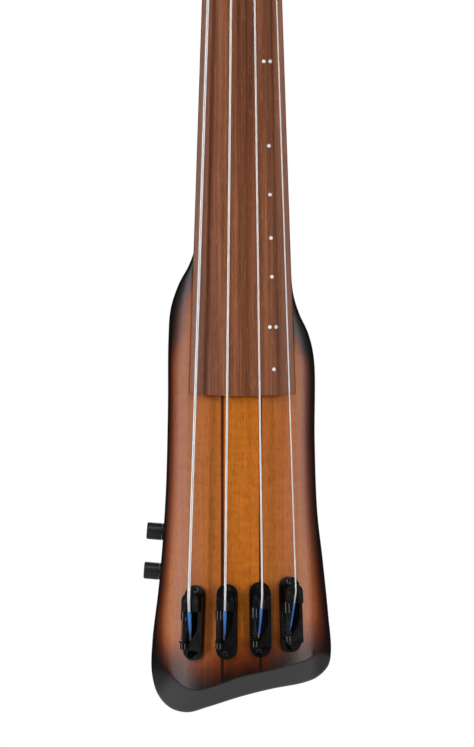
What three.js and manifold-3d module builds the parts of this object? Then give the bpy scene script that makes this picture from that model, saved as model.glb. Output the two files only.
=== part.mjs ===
// A fretless electric upright bass: a slim laminated body with its neck running right through it,
// four single-string bridge units on an arched top, and a headstock with two tuners on each side.
//
// Every shape is laid out from the bridge line: x runs from the bass side to the treble side,
// y is 0 on the flat back and negative towards the player's side, z runs up the neck.
import * as THREE from "three";
import { mergeVertices } from "three/addons/utils/BufferGeometryUtils.js";
import Module from "manifold-3d";

const wasm = await Module();
wasm.setup();

// ---------------------------------------------------------------- driving dimensions, millimetres
const GAP = 0.3; // clearance between pieces that touch

const NUT_Z = 864; // the scale length: bridge line to nut
const NUT_LENGTH = 6;
const BOARD_END_Z = 160;
const NUT_HALF_WIDTH = 20;
const BOARD_END_HALF_WIDTH = 43.4;

const CROWN = 44; // body thickness on the centre line
const ARCH_RADIUS = 110; // the top is part of a cylinder
const BOARD_PLANE = 35; // height of the fingerboard's underside above the back
const BOARD_CROWN_AT_NUT = 42;
const BOARD_CROWN_AT_END = 50;

const STRIPE_BASS = [-17.3, -14.8]; // the two dark laminations
const STRIPE_TREBLE = [13.8, 16.3];
const WING_LINE = 45.7; // where the neck block stops and the body wings start

const BODY_TOP_Z = 276;
const CREASE_Z = -70.2; // the end chamfer's upper edge on the centre line
const CREASE_SLOPE = 0.262;
const CHAMFER_DROP = 0.8; // chamfer fall per millimetre of length
const FAR_BEHIND = 400; // beyond every piece, for shapes that only cut

const NECK_DEPTH_AT_NUT = 15; // wood behind the fingerboard
const NECK_DEPTH_AT_HEEL = 20;
const HEEL_TOP_Z = 345;

const HEAD_THICKNESS = 15;
const HEAD_ANGLE = THREE.MathUtils.degToRad(10);

const STAND_PLATE_Z = 165;
const STAND_PLATE = { width: 56, height: 90, thickness: 4, hole: 3.3, holeOffset: 28 };

const STRING_HEIGHT = 17; // string above the top, at its saddle
const STRINGS = [
  { name: "e", gauge: 2.54, base: -37.6, line: -6.0, nut: -15.5 },
  { name: "a", gauge: 2.03, base: -11.9, line: -5.1, nut: -5.2 },
  { name: "d", gauge: 1.65, base: 14.2, line: -3.3, nut: 5.4 },
  { name: "g", gauge: 1.14, base: 37.9, line: 0.9, nut: 15.7 },
];
const STRING_CLEARANCE_AT_NUT = 0.8;

const UNIT = {
  top: 12, // the base's ends, measured along the string from the saddle's ridge
  bottom: -49.5,
  halfWidth: 8.7,
  plate: 3,
  wall: 9,
  blockTop: 15.2,
  saddleFront: 6.2,
  saddleRear: -9.5,
  bossEnd: -17,
  lugFront: -33.6,
  lugRear: -35.4,
  screwSide: -5.6, // place of the intonation screw, across and above the top
  screwHeight: 11,
  screwRadius: 1.35,
  ballSide: -1.7,
  ballLine: -33.6,
};

const POST_X = 25;
const POST_RADIUS = 6;
const SLOT_DEPTH = 10.5;
const WINDING_START = 7.5;
const LOWER_POST_Z = 42;
const UPPER_POST_Z = 92;
const WORM_OFFSET = 13.4;
const WORM_DEPTH = 6;
const GEAR_RADIUS = 10;

const KNOB_RADIUS = 7;
const KNOB_LENGTH = 12.3;
const KNOB_DEPTH = 12; // height of the knobs' axes above the back
const KNOB_TILT = THREE.MathUtils.degToRad(4.4); // the side slopes outwards towards the bottom
const KNOBS = [
  { name: "volume", wall: -64.9, z: 49.1 },
  { name: "tone", wall: -67.3, z: 16.8 },
];

const COVER_THICKNESS = 2;
const CONTROL = { x0: -53.5, x1: -4, z0: -8, z1: 72, depth: 23 };
const BATTERY_BAY = { x0: 12, x1: 46, z0: 2, z1: 60, depth: 24 };
const LID_MARGIN = 2;
const JACK = { x: -26, z: 10, outer: 5.5, bore: 3.3, length: 17 };

// ---------------------------------------------------------------- materials
const paint = (color, roughness, metalness = 0) =>
  new THREE.MeshStandardMaterial({ color, roughness, metalness });

const MATERIAL = {
  maple: () => paint(0xb06a24, 0.45),
  stripe: () => paint(0x4a2412, 0.5),
  wing: () => paint(0x8a4a22, 0.45),
  board: () => paint(0x6e3f24, 0.6),
  black: () => paint(0x141416, 0.35, 0.6),
  plastic: () => paint(0x1b1b1d, 0.5),
  steel: () => paint(0xb9bcc0, 0.3, 0.9),
  brass: () => paint(0xb08d45, 0.4, 0.9),
  circuit: () => paint(0x1f5a34, 0.6),
};

// ---------------------------------------------------------------- shapes
// A closed geometry as a solid that can be joined and cut.
function solid(geometry) {
  const bare = geometry.index ? geometry.clone() : geometry;
  bare.deleteAttribute("normal");
  bare.deleteAttribute("uv");
  const merged = mergeVertices(bare, 1e-4);
  return new wasm.Manifold(
    new wasm.Mesh({
      numProp: 3,
      vertProperties: merged.attributes.position.array,
      triVerts: new Uint32Array(merged.index.array),
    }),
  );
}

function geometryOf(body) {
  const { vertProperties, triVerts } = body.getMesh();
  const geometry = new THREE.BufferGeometry();
  geometry.setAttribute("position", new THREE.BufferAttribute(vertProperties, 3));
  geometry.setIndex(new THREE.BufferAttribute(triVerts, 1));
  const faceted = geometry.toNonIndexed();
  faceted.computeVertexNormals();
  return faceted;
}

const join = (...bodies) => bodies.reduce((sum, body) => sum.add(body));
const cut = (body, ...tools) => tools.reduce((rest, tool) => rest.subtract(tool), body);
const shapeOf = (points) => new THREE.Shape(points.map(([x, y]) => new THREE.Vector2(x, y)));
const extruded = (points, depth) =>
  new THREE.ExtrudeGeometry(shapeOf(points), { depth, bevelEnabled: false });

// Prisms: a [x, z] outline between two heights above the back, and a [x, y] outline along z.
const slab = (points, low, high) =>
  solid(extruded(points, high - low).rotateX(Math.PI / 2).translate(0, -low, 0));
const column = (points, z0, z1) => solid(extruded(points, z1 - z0).translate(0, 0, z0));

function box(x0, x1, y0, y1, z0, z1) {
  const geometry = new THREE.BoxGeometry(x1 - x0, y1 - y0, z1 - z0);
  return solid(geometry.translate((x0 + x1) / 2, (y0 + y1) / 2, (z0 + z1) / 2));
}

// A solid of revolution: [radius, distance] pairs along a direction from a starting point.
function turned(profile, start, direction, sides = 20) {
  const points = profile.map(([radius, along]) => new THREE.Vector2(radius, along));
  const turn = new THREE.Quaternion().setFromUnitVectors(new THREE.Vector3(0, 1, 0), direction);
  const geometry = new THREE.LatheGeometry(points, sides).applyQuaternion(turn);
  return solid(geometry.translate(start.x, start.y, start.z));
}

function rod(radius, from, to, sides = 16) {
  const direction = to.clone().sub(from);
  const length = direction.length();
  return turned([[0, 0], [radius, 0], [radius, length], [0, length]], from, direction.normalize(), sides);
}

const at = (x, y, z) => new THREE.Vector3(x, y, z);

// A stadium-shaped or rounded rectangular outline around a centre.
function roundedOutline(width, height, radius, x = 0, z = 0, steps = 5) {
  const points = [];
  const corners = [[1, 1], [-1, 1], [-1, -1], [1, -1]];
  corners.forEach(([sx, sz], quarter) => {
    for (let i = 0; i <= steps; i += 1) {
      const angle = ((quarter + i / steps) * Math.PI) / 2;
      points.push([
        x + sx * (width / 2 - radius) + radius * Math.cos(angle),
        z + sz * (height / 2 - radius) + radius * Math.sin(angle),
      ]);
    }
  });
  return points;
}

// A solid through rings of equal size, each counter-clockwise as seen from above.
function loft(rings) {
  const count = rings[0].length;
  const index = [];
  rings.slice(1).forEach((_, level) => {
    for (let i = 0; i < count; i += 1) {
      const a = level * count + i;
      const b = level * count + ((i + 1) % count);
      index.push(a, b, b + count, a, b + count, a + count);
    }
  });
  const top = (rings.length - 1) * count;
  for (let i = 1; i < count - 1; i += 1) {
    index.push(0, i + 1, i, top, top + i, top + i + 1);
  }
  const geometry = new THREE.BufferGeometry().setFromPoints(rings.flat());
  geometry.setIndex(index);
  return solid(geometry);
}

// A path through given points, one extrusion step to each point whatever their spacing.
class Route extends THREE.Curve {
  constructor(points) {
    super();
    this.points = points;
  }

  getPoint(t, target = new THREE.Vector3()) {
    const place = t * (this.points.length - 1);
    const i = Math.min(Math.floor(place), this.points.length - 2);
    return target.lerpVectors(this.points[i], this.points[i + 1], place - i);
  }

  getTangent(t, target = new THREE.Vector3()) {
    const i = Math.round(t * (this.points.length - 1));
    const here = this.points[i];
    const before = i > 0 ? here.clone().sub(this.points[i - 1]).normalize() : null;
    const after = i < this.points.length - 1 ? this.points[i + 1].clone().sub(here).normalize() : null;
    return target.copy(before ?? after).add(after ?? before).normalize();
  }

  getUtoTmapping(u) {
    return u;
  }
}

function wire(points, radius, sides) {
  const ring = Array.from({ length: sides }, (_, i) => {
    const angle = (i / sides) * 2 * Math.PI;
    return [radius * Math.cos(angle), radius * Math.sin(angle)];
  });
  return new THREE.ExtrudeGeometry(shapeOf(ring), {
    steps: points.length - 1,
    extrudePath: new Route(points),
  });
}

// A smooth line through a few chosen points.
function smooth(points, steps) {
  const curve = new THREE.CatmullRomCurve3(points.map(([x, z]) => at(x, z, 0)), false, "centripetal");
  return curve.getPoints(steps).map((point) => [point.x, point.y]);
}

// ---------------------------------------------------------------- the scene graph
const bass = new THREE.Group();
const instrument = new THREE.Group();
instrument.position.set(0, -STAND_PLATE.thickness - GAP, -STAND_PLATE_Z);
bass.add(instrument);

const head = new THREE.Group();
head.position.set(0, -BOARD_PLANE, NUT_Z + NUT_LENGTH);
head.rotation.x = -HEAD_ANGLE;
head.updateMatrix();
instrument.add(head);

function piece(name, shape, material, parent = instrument) {
  const geometry = shape.isBufferGeometry ? shape : geometryOf(shape);
  const mesh = new THREE.Mesh(geometry, material);
  mesh.name = name;
  parent.add(mesh);
}

// ---------------------------------------------------------------- surfaces shared by the pieces
const sag = (x) => ARCH_RADIUS - Math.sqrt(ARCH_RADIUS ** 2 - x ** 2);
const topHeight = (x) => CROWN - sag(x);
const boardShare = (z) => (NUT_Z - z) / (NUT_Z - BOARD_END_Z);
const boardHalfWidth = (z) =>
  NUT_HALF_WIDTH + (BOARD_END_HALF_WIDTH - NUT_HALF_WIDTH) * boardShare(z);
const boardCrown = (z) =>
  BOARD_CROWN_AT_NUT + (BOARD_CROWN_AT_END - BOARD_CROWN_AT_NUT) * boardShare(z);
const stringHeightAtNut = (string) =>
  BOARD_CROWN_AT_NUT - sag(string.nut) + STRING_CLEARANCE_AT_NUT + string.gauge / 2;

// The frame of one bridge unit: z along the string, -y out of the arched top.
function unitFrame(string) {
  const tilt = Math.asin(string.base / ARCH_RADIUS);
  const ridge = string.base + STRING_HEIGHT * Math.sin(tilt);
  const splay = Math.atan((string.nut - ridge) / (NUT_Z - string.line) / Math.cos(tilt));
  const frame = new THREE.Group();
  frame.position.set(string.base, -topHeight(string.base), string.line);
  frame.rotation.set(0, splay, tilt, "ZYX");
  frame.updateMatrix();
  return frame;
}

const units = STRINGS.map(unitFrame);
units.forEach((frame) => instrument.add(frame));

// ---------------------------------------------------------------- wood
// The body's outline, from the bass shoulder round the bottom to the treble shoulder.
const BODY_OUTLINE = [
  [-39.6, BODY_TOP_Z], [-43.5, 266], [-51.6, 251], [-58.2, 231], [-60.1, 205], [-60.5, 150],
  [-62.4, 78], [-67.6, 8], [-73.2, -40], [-73.7, -66], [-68.8, -84], [-58.5, -95], [-44.5, -98.3],
  [-28, -93.7], [-2, -85.4], [24, -78.9], [50, -74.2], [61, -70], [70.2, -61], [72.7, -49],
  [70.4, -18], [65.9, 26], [61.4, 66], [59.3, 124], [58.7, 190], [54, 211], [46.5, 227.5],
  [41.8, 243], [39.8, 264], [39.6, BODY_TOP_Z],
];
const HEAD_OUTLINE = [
  [20, -1], [20.6, 8], [27, 21], [34.5, 34], [36.5, 55], [34.5, 104], [28, 125], [14, 136.5], [0, 139],
];
const LAMINATIONS = [
  { name: "body_wing_bass", from: -90, to: -WING_LINE, material: "wing" },
  { name: "neck_side_bass", from: -WING_LINE, to: STRIPE_BASS[0], material: "maple" },
  { name: "neck_stripe_bass", from: STRIPE_BASS[0], to: STRIPE_BASS[1], material: "stripe" },
  { name: "neck_center", from: STRIPE_BASS[1], to: STRIPE_TREBLE[0], material: "maple" },
  { name: "neck_stripe_treble", from: STRIPE_TREBLE[0], to: STRIPE_TREBLE[1], material: "stripe" },
  { name: "neck_side_treble", from: STRIPE_TREBLE[1], to: WING_LINE, material: "maple" },
  { name: "body_wing_treble", from: WING_LINE, to: 90, material: "wing" },
];

// Everything under the arched top, falling away by a given slope towards the bottom.
function archedBlock(slope, skew, lift) {
  const profile = [];
  for (let x = -80; x <= 80; x += 8) {
    profile.push([x, -(topHeight(x) - slope * (skew * x + lift))]);
  }
  profile.push([80, FAR_BEHIND], [-80, FAR_BEHIND]);
  const geometry = extruded(profile, 500).translate(0, 0, -150);
  const shear = new THREE.Matrix4().set(1, 0, 0, 0, 0, 1, -slope, 0, 0, 0, 1, 0, 0, 0, 0, 1);
  return solid(geometry.applyMatrix4(shear));
}

function bodyBlank() {
  const outline = slab(smooth(BODY_OUTLINE, 96), 0, CROWN + 1);
  const top = archedBlock(0, 0, 0);
  const endChamfer = archedBlock(CHAMFER_DROP, CREASE_SLOPE, CREASE_Z);
  return outline.intersect(top).intersect(endChamfer);
}

// The neck's rounded back, deepening into a square heel where it enters the body.
function neckBlank() {
  const heel = (z) => THREE.MathUtils.smoothstep(HEEL_TOP_Z - z, 0, HEEL_TOP_Z - BODY_TOP_Z);
  const plainDepth = (z) =>
    THREE.MathUtils.mapLinear(z, HEEL_TOP_Z, NUT_Z, NECK_DEPTH_AT_HEEL, NECK_DEPTH_AT_NUT);
  const levels = [262, BODY_TOP_Z, 288, 300, 312, 324, HEEL_TOP_Z, 520, 700, NUT_Z + NUT_LENGTH];
  const rings = levels.map((z) => {
    const depth = THREE.MathUtils.lerp(plainDepth(z), BOARD_PLANE, heel(z));
    const squareness = THREE.MathUtils.lerp(0.95, 0.3, heel(z));
    const halfWidth = Math.max(boardHalfWidth(z), NUT_HALF_WIDTH);
    const ring = [];
    for (let i = 0; i <= 14; i += 1) {
      const angle = (i / 14) * Math.PI;
      const across = Math.sign(Math.cos(angle)) * Math.abs(Math.cos(angle)) ** squareness;
      const back = i === 14 ? 0 : Math.sin(angle) ** squareness;
      ring.push(at(halfWidth * across, depth * back - BOARD_PLANE, z));
    }
    return ring;
  });
  return loft(rings);
}

function headBlank() {
  const right = smooth(HEAD_OUTLINE, 30);
  const left = right.slice(0, -1).reverse().map(([x, z]) => [-x, z]);
  return slab([...right, ...left], -HEAD_THICKNESS, 0);
}

// The flat the fingerboard is glued to, and the slot for the truss rod under it.
function fingerboardSeat() {
  const low = boardHalfWidth(BOARD_END_Z - GAP) + GAP;
  const high = NUT_HALF_WIDTH + GAP;
  const outline = [[-low, BOARD_END_Z - GAP], [low, BOARD_END_Z - GAP], [high, NUT_Z], [-high, NUT_Z]];
  return slab(outline, BOARD_PLANE, CROWN + 10);
}

const TRUSS_ROD = { radius: 3, depth: 30, z0: 300, z1: NUT_Z + 12 };

function trussRodSlot() {
  const half = TRUSS_ROD.radius + GAP;
  const floor = TRUSS_ROD.depth - TRUSS_ROD.radius - GAP;
  return box(-half, half, -BOARD_PLANE - 5, -floor, TRUSS_ROD.z0 - GAP, TRUSS_ROD.z1 + GAP);
}

function bay(room, margin) {
  const rebate = box(
    room.x0 - margin - GAP, room.x1 + margin + GAP,
    -COVER_THICKNESS - GAP, 1,
    room.z0 - margin - GAP, room.z1 + margin + GAP,
  );
  const hollow = box(room.x0 - GAP, room.x1 + GAP, -room.depth - GAP, 1, room.z0 - GAP, room.z1 + GAP);
  return rebate.add(hollow);
}

function knobAxis({ wall, z }) {
  const start = at(wall, -KNOB_DEPTH, z);
  const outward = at(-Math.cos(KNOB_TILT), 0, Math.sin(KNOB_TILT));
  return (distance) => start.clone().addScaledVector(outward, distance);
}

const BUSHING_RADIUS = 4.4;

function knobHole(knob) {
  const place = knobAxis(knob);
  return rod(BUSHING_RADIUS + GAP, place(-20), place(8));
}

const PICKUP = { halfWidth: 2.5, halfLength: 8, low: -2.2, high: -0.6 };

function pickupPocket(frame) {
  const { halfWidth, halfLength, low } = PICKUP;
  const pocket = box(
    -halfWidth - GAP, halfWidth + GAP, -2, -low + GAP, -halfLength - GAP, halfLength + GAP,
  );
  return pocket.transform(frame.matrix.elements);
}

const TUNERS = STRINGS.map((string) => {
  const side = Math.sign(string.nut);
  const lower = Math.abs(string.nut) > 10;
  return { name: string.name, side, x: side * POST_X, z: lower ? LOWER_POST_Z : UPPER_POST_Z };
});

const postHole = ({ x, z }) =>
  rod(POST_RADIUS + 2 * GAP, at(x, -5, z), at(x, HEAD_THICKNESS + 5, z));

function makeWood() {
  const shapedHead = cut(headBlank(), ...TUNERS.map(postHole)).transform(head.matrix.elements);
  const blank = cut(
    join(bodyBlank(), neckBlank(), shapedHead),
    fingerboardSeat(),
    trussRodSlot(),
    bay(CONTROL, LID_MARGIN),
    bay(BATTERY_BAY, LID_MARGIN),
    ...KNOBS.map(knobHole),
    ...units.map(pickupPocket),
  );
  LAMINATIONS.forEach(({ name, from, to, material }) => {
    const layer = box(from + GAP / 2, to - GAP / 2, -80, 80, -150, 1100);
    piece(name, blank.intersect(layer), MATERIAL[material]());
  });
}

// ---------------------------------------------------------------- fingerboard, nut, truss rod
function makeFingerboard() {
  const levels = [BOARD_END_Z, 300, 440, 580, 720, NUT_Z - GAP];
  const rings = levels.map((z) => {
    const half = boardHalfWidth(z);
    const ring = [at(half, -BOARD_PLANE - GAP, z), at(-half, -BOARD_PLANE - GAP, z)];
    for (let i = 0; i <= 12; i += 1) {
      const x = half * (i / 6 - 1);
      ring.push(at(x, sag(x) - boardCrown(z), z));
    }
    return ring;
  });
  piece("fingerboard", loft(rings), MATERIAL.board());
}

function makeNut() {
  const half = NUT_HALF_WIDTH;
  const rise = BOARD_CROWN_AT_NUT + STRING_CLEARANCE_AT_NUT * 2;
  const profile = [[half, -BOARD_PLANE - GAP], [-half, -BOARD_PLANE - GAP]];
  for (let i = 0; i <= 8; i += 1) {
    const x = half * (i / 4 - 1);
    profile.push([x, sag(x) - rise]);
  }
  const blank = column(profile, NUT_Z, NUT_Z + NUT_LENGTH);
  const slots = STRINGS.map((string) => {
    const room = string.gauge / 2 + GAP;
    const floor = stringHeightAtNut(string) - room;
    return box(string.nut - room, string.nut + room, -60, -floor, NUT_Z - 1, NUT_Z + NUT_LENGTH + 1);
  });
  piece("nut", cut(blank, ...slots), MATERIAL.plastic());
}

function makeTrussRod() {
  const { radius, depth, z0, z1 } = TRUSS_ROD;
  piece("truss_rod", rod(radius, at(0, -depth, z0), at(0, -depth, z1), 12), MATERIAL.steel());
  const outline = roundedOutline(16, 36, 5, 0, 22);
  piece("truss_rod_cover", slab(outline, GAP, GAP + 2), MATERIAL.plastic(), head);
}

// ---------------------------------------------------------------- bridge units
function bridgeBase() {
  const { top, bottom, halfWidth, plate, wall, lugFront, lugRear, screwSide, screwHeight } = UNIT;
  const outline = roundedOutline(2 * halfWidth, top - bottom, halfWidth, 0, (top + bottom) / 2, 7);
  const rail = box(5.4, 8.2, -wall, -plate / 2, -42, 3);
  const wedge = slab([[8.2, -41], [8.2, -22], [5.4, -22], [3.7, -27.4], [-3.4, -38.8], [-3.4, -41]], 1, wall);
  const lug = box(screwSide - 2.7, screwSide + 2, -screwHeight - 2.6, -1, lugRear, lugFront);
  const screwHole = rod(
    UNIT.screwRadius + GAP, at(screwSide, -screwHeight, -60), at(screwSide, -screwHeight, -20),
  );
  const ballHole = rod(1.7, at(UNIT.ballSide, 1, UNIT.ballLine), at(UNIT.ballSide, -20, UNIT.ballLine), 12);
  const corners = box(halfWidth, 20, -20, 1, -80, 20);
  return cut(join(slab(outline, GAP, plate), rail, wedge, lug), screwHole, ballHole, corners);
}

// The saddle block: rounded front, a threaded boss for the screw, a sloping channel for the string.
function bridgeSaddle() {
  const { plate, wall, blockTop, saddleFront, saddleRear, bossEnd, screwSide, screwHeight } = UNIT;
  const halfWidth = 6.9;
  const outline = [[halfWidth, saddleRear]];
  for (let i = 0; i <= 12; i += 1) {
    const angle = (i / 12) * Math.PI;
    outline.push([halfWidth * Math.cos(angle), saddleFront - halfWidth * (1 - Math.sin(angle))]);
  }
  outline.push([-halfWidth, saddleRear]);
  const block = slab(outline, wall + GAP, blockTop);
  const foot = box(-6.4, 5.4 - GAP, -wall - 1, -plate - GAP, saddleRear, 3);
  const boss = rod(2.8, at(screwSide, -screwHeight, bossEnd), at(screwSide, -screwHeight, saddleRear + 1), 14);
  const bore = rod(
    UNIT.screwRadius + GAP, at(screwSide, -screwHeight, bossEnd - 1), at(screwSide, -screwHeight, 2),
  );
  const channel = solid(
    extruded([[0.8, 25], [0.8, blockTop], [11, 10.2], [11, 25]], 5.2).rotateY(Math.PI / 2),
  ).transform(new THREE.Matrix4().set(1, 0, 0, -2.6, 0, -1, 0, 0, 0, 0, 1, 0, 0, 0, 0, 1).elements);
  return cut(join(block, foot, boss), bore, channel);
}

function intonationScrew() {
  const { lugRear, screwSide, screwHeight, screwRadius } = UNIT;
  const shank = 36;
  const profile = [
    [0, 0], [2.6, 0.4], [2.6, 5], [screwRadius, 5], [screwRadius, 5 + shank], [0, 5 + shank],
  ];
  const start = at(screwSide, -screwHeight, lugRear - GAP - 5);
  return turned(profile, start, at(0, 0, 1), 12);
}

function intonationSpring() {
  const { lugFront, bossEnd, screwSide, screwHeight } = UNIT;
  const wireRadius = 0.32;
  const coilRadius = 2.25;
  const turns = 7;
  const low = lugFront + GAP + wireRadius;
  const high = bossEnd - GAP - wireRadius;
  const steps = turns * 8;
  const points = Array.from({ length: steps + 1 }, (_, i) => {
    const angle = (i / 8) * 2 * Math.PI;
    const z = low + ((high - low) * i) / steps;
    return at(screwSide + coilRadius * Math.cos(angle), coilRadius * Math.sin(angle) - screwHeight, z);
  });
  return wire(points, wireRadius, 5);
}

function pickup() {
  const { halfWidth, halfLength, low, high } = PICKUP;
  return box(-halfWidth, halfWidth, -high, -low, -halfLength, halfLength);
}

function makeBridges() {
  STRINGS.forEach(({ name }, i) => {
    const frame = units[i];
    piece(`bridge_base_${name}`, bridgeBase(), MATERIAL.black(), frame);
    piece(`saddle_${name}`, bridgeSaddle(), MATERIAL.black(), frame);
    piece(`intonation_screw_${name}`, intonationScrew(), MATERIAL.black(), frame);
    piece(`intonation_spring_${name}`, intonationSpring(), MATERIAL.steel(), frame);
    piece(`pickup_${name}`, pickup(), MATERIAL.brass(), frame);
  });
}

// ---------------------------------------------------------------- tuners
const headBack = (height) => HEAD_THICKNESS + height;

function tunerPlate({ x, z }) {
  const plate = slab(roundedOutline(20.4, 36, 4, x, z + 6), -headBack(1.8), -headBack(GAP));
  const ears = [-1, 1].map((end) =>
    box(x + end * 8.8 - 1.2, x + end * 8.8 + 1.2, headBack(1), headBack(10), z + 9.6, z + 17.4),
  );
  const y = headBack(WORM_DEPTH);
  const wormZ = z + WORM_OFFSET;
  const shaftHole = rod(2 + GAP, at(x - 20, y, wormZ), at(x + 20, y, wormZ));
  const postRoom = rod(POST_RADIUS + 2 * GAP, at(x, headBack(-1), z), at(x, headBack(4), z));
  return cut(join(plate, ...ears), shaftHole, postRoom);
}

function tunerPost({ x, z }) {
  const frontEnd = -20;
  const reach = headBack(3.5) - frontEnd;
  const profile = [
    [0, 0], [POST_RADIUS - 0.8, 0], [POST_RADIUS, 0.8], [POST_RADIUS, reach], [GEAR_RADIUS, reach],
    [GEAR_RADIUS, reach + 5], [0, reach + 5],
  ];
  const post = turned(profile, at(x, frontEnd, z), at(0, 1, 0), 20);
  const slot = box(x - 1.5, x + 1.5, frontEnd - 1, frontEnd + SLOT_DEPTH, z - 10, z + 10);
  return cut(post, slot);
}

function tunerButton({ x, z, side }) {
  const wormZ = z + WORM_OFFSET;
  const y = headBack(WORM_DEPTH);
  const along = (distance) => at(x + side * distance, y, wormZ);
  const worm = rod(3, along(-7.2), along(7.2));
  const shaft = rod(2, along(-11), along(24), 12);
  const outline = roundedOutline(24, 27, 9, x + side * 34, wormZ);
  const paddle = slab(outline, -y - 3, -y + 3);
  return join(worm, shaft, paddle);
}

function makeTuners() {
  TUNERS.forEach((tuner) => {
    piece(`tuner_plate_${tuner.name}`, tunerPlate(tuner), MATERIAL.black(), head);
    piece(`tuner_post_${tuner.name}`, tunerPost(tuner), MATERIAL.black(), head);
    piece(`tuner_button_${tuner.name}`, tunerButton(tuner), MATERIAL.black(), head);
  });
}

// ---------------------------------------------------------------- strings
// The winding on a post: the string meets the post's inner side and climbs to the end of the slot.
function winding(string, tuner, nutPoint) {
  const radius = POST_RADIUS + 0.4 + string.gauge / 2;
  const gapX = tuner.x - nutPoint.x;
  const gapZ = tuner.z - nutPoint.z;
  const distance = Math.hypot(gapX, gapZ);
  const lean = Math.atan2(gapX, gapZ) - tuner.side * Math.asin(radius / distance);
  const reach = Math.sqrt(distance ** 2 - radius ** 2);
  const startX = nutPoint.x + reach * Math.sin(lean);
  const startZ = nutPoint.z + reach * Math.cos(lean);
  const startAngle = Math.atan2(startZ - tuner.z, startX - tuner.x);
  const pastSlot = (tuner.side * startAngle - Math.PI / 2) / (2 * Math.PI);
  const turns = 1.5 + THREE.MathUtils.euclideanModulo(pastSlot, 0.5);
  const steps = 29;
  const pitch = string.gauge + GAP;
  return Array.from({ length: steps }, (_, i) => {
    const angle = startAngle - tuner.side * (i / (steps - 1)) * turns * 2 * Math.PI;
    const height = WINDING_START + (i / (steps - 1)) * turns * pitch;
    return at(tuner.x + radius * Math.cos(angle), -height, tuner.z + radius * Math.sin(angle));
  });
}

function stringRoute(string, i) {
  const fromUnit = (x, y, z) => at(x, y, z).applyMatrix4(units[i].matrix);
  const nutY = -stringHeightAtNut(string);
  const nutEnd = at(string.nut, nutY, NUT_Z + NUT_LENGTH);
  const toHead = head.matrix.clone().invert();
  const wraps = winding(string, TUNERS[i], nutEnd.clone().applyMatrix4(toHead));
  return [
    fromUnit(UNIT.ballSide, -UNIT.plate - GAP - string.gauge / 2, UNIT.ballLine),
    fromUnit(0, -STRING_HEIGHT, 0),
    at(string.nut, nutY, NUT_Z),
    nutEnd,
    ...wraps.map((point) => point.applyMatrix4(head.matrix)),
  ];
}

function makeStrings() {
  STRINGS.forEach((string, i) => {
    const sides = 8;
    piece(`string_${string.name}`, wire(stringRoute(string, i), string.gauge / 2, sides), MATERIAL.steel());
  });
}

// ---------------------------------------------------------------- controls and electronics
const outwardOf = (place) => place(1).sub(place(0)).normalize();

function makeControls() {
  KNOBS.forEach((knob) => {
    const place = knobAxis(knob);
    const face = knob.wall - CONTROL.x0 - 1;
    const cap = turned(
      [[0, 0], [6.6, 0], [KNOB_RADIUS, 0.6], [KNOB_RADIUS, 11.2], [5.9, KNOB_LENGTH], [0, KNOB_LENGTH]],
      place(0.6), outwardOf(place), 28,
    );
    const shaftEnd = 9;
    const capBore = rod(3 + GAP, place(-1), place(shaftEnd + GAP));
    piece(`${knob.name}_knob`, cut(cap, capBore), MATERIAL.black());
    piece(`${knob.name}_shaft`, rod(3, place(face - 8), place(shaftEnd)), MATERIAL.steel());
    const can = rod(8.2, place(face - 10), place(face), 20);
    const bushing = rod(BUSHING_RADIUS, place(face - 1), place(0));
    const bore = rod(3 + GAP, place(face - 8.6), place(2));
    piece(`${knob.name}_pot`, cut(can.add(bushing), bore), MATERIAL.steel());
  });
}

function makeElectronics() {
  const { x0, x1, z0, z1 } = CONTROL;
  const cover = slab(
    roundedOutline(x1 - x0 + 2 * LID_MARGIN, z1 - z0 + 2 * LID_MARGIN, 5, (x0 + x1) / 2, (z0 + z1) / 2),
    0, COVER_THICKNESS,
  );
  const jackHole = rod(JACK.outer + GAP, at(JACK.x, -5, JACK.z), at(JACK.x, 5, JACK.z));
  piece("control_cover", cut(cover, jackHole), MATERIAL.plastic());

  const barrel = rod(JACK.outer, at(JACK.x, -JACK.length, JACK.z), at(JACK.x, 1, JACK.z));
  const flange = rod(8, at(JACK.x, GAP, JACK.z), at(JACK.x, 2.2, JACK.z), 6);
  const socket = rod(JACK.bore, at(JACK.x, -JACK.length + 2, JACK.z), at(JACK.x, 5, JACK.z));
  piece("output_jack", cut(barrel.add(flange), socket), MATERIAL.steel());

  piece("preamp_board", box(-41, -8, -18.6, -17, 26, 66), MATERIAL.circuit());
}

function makeBattery() {
  const { x0, x1, z0, z1, depth } = BATTERY_BAY;
  const wall = 2;
  const shell = box(x0, x1, -depth, -COVER_THICKNESS - GAP, z0, z1);
  const room = box(x0 + wall, x1 - wall, -depth + wall, 0, z0 + wall, z1 - wall);
  piece("battery_box", cut(shell, room), MATERIAL.plastic());
  piece("battery", box(15.75, 42.25, -depth + wall + GAP, -4.2, 6.5, 55), MATERIAL.steel());
  const lid = box(x0 - LID_MARGIN, x1 + LID_MARGIN, -COVER_THICKNESS, 0, z0 - LID_MARGIN, z1 + LID_MARGIN);
  piece("battery_lid", lid, MATERIAL.plastic());
}

function makeStandPlate() {
  const { width, height, thickness, hole, holeOffset } = STAND_PLATE;
  const outline = roundedOutline(width, height, 6, 0, STAND_PLATE_Z);
  const plate = slab(outline, -thickness - GAP, -GAP);
  const holes = [-holeOffset, holeOffset].map((offset) =>
    rod(hole, at(0, -1, STAND_PLATE_Z + offset), at(0, 10, STAND_PLATE_Z + offset)),
  );
  piece("stand_plate", cut(plate, ...holes), MATERIAL.black());
}

makeWood();
makeFingerboard();
makeNut();
makeTrussRod();
makeBridges();
makeTuners();
makeStrings();
makeControls();
makeElectronics();
makeBattery();
makeStandPlate();

export default bass;
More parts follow.
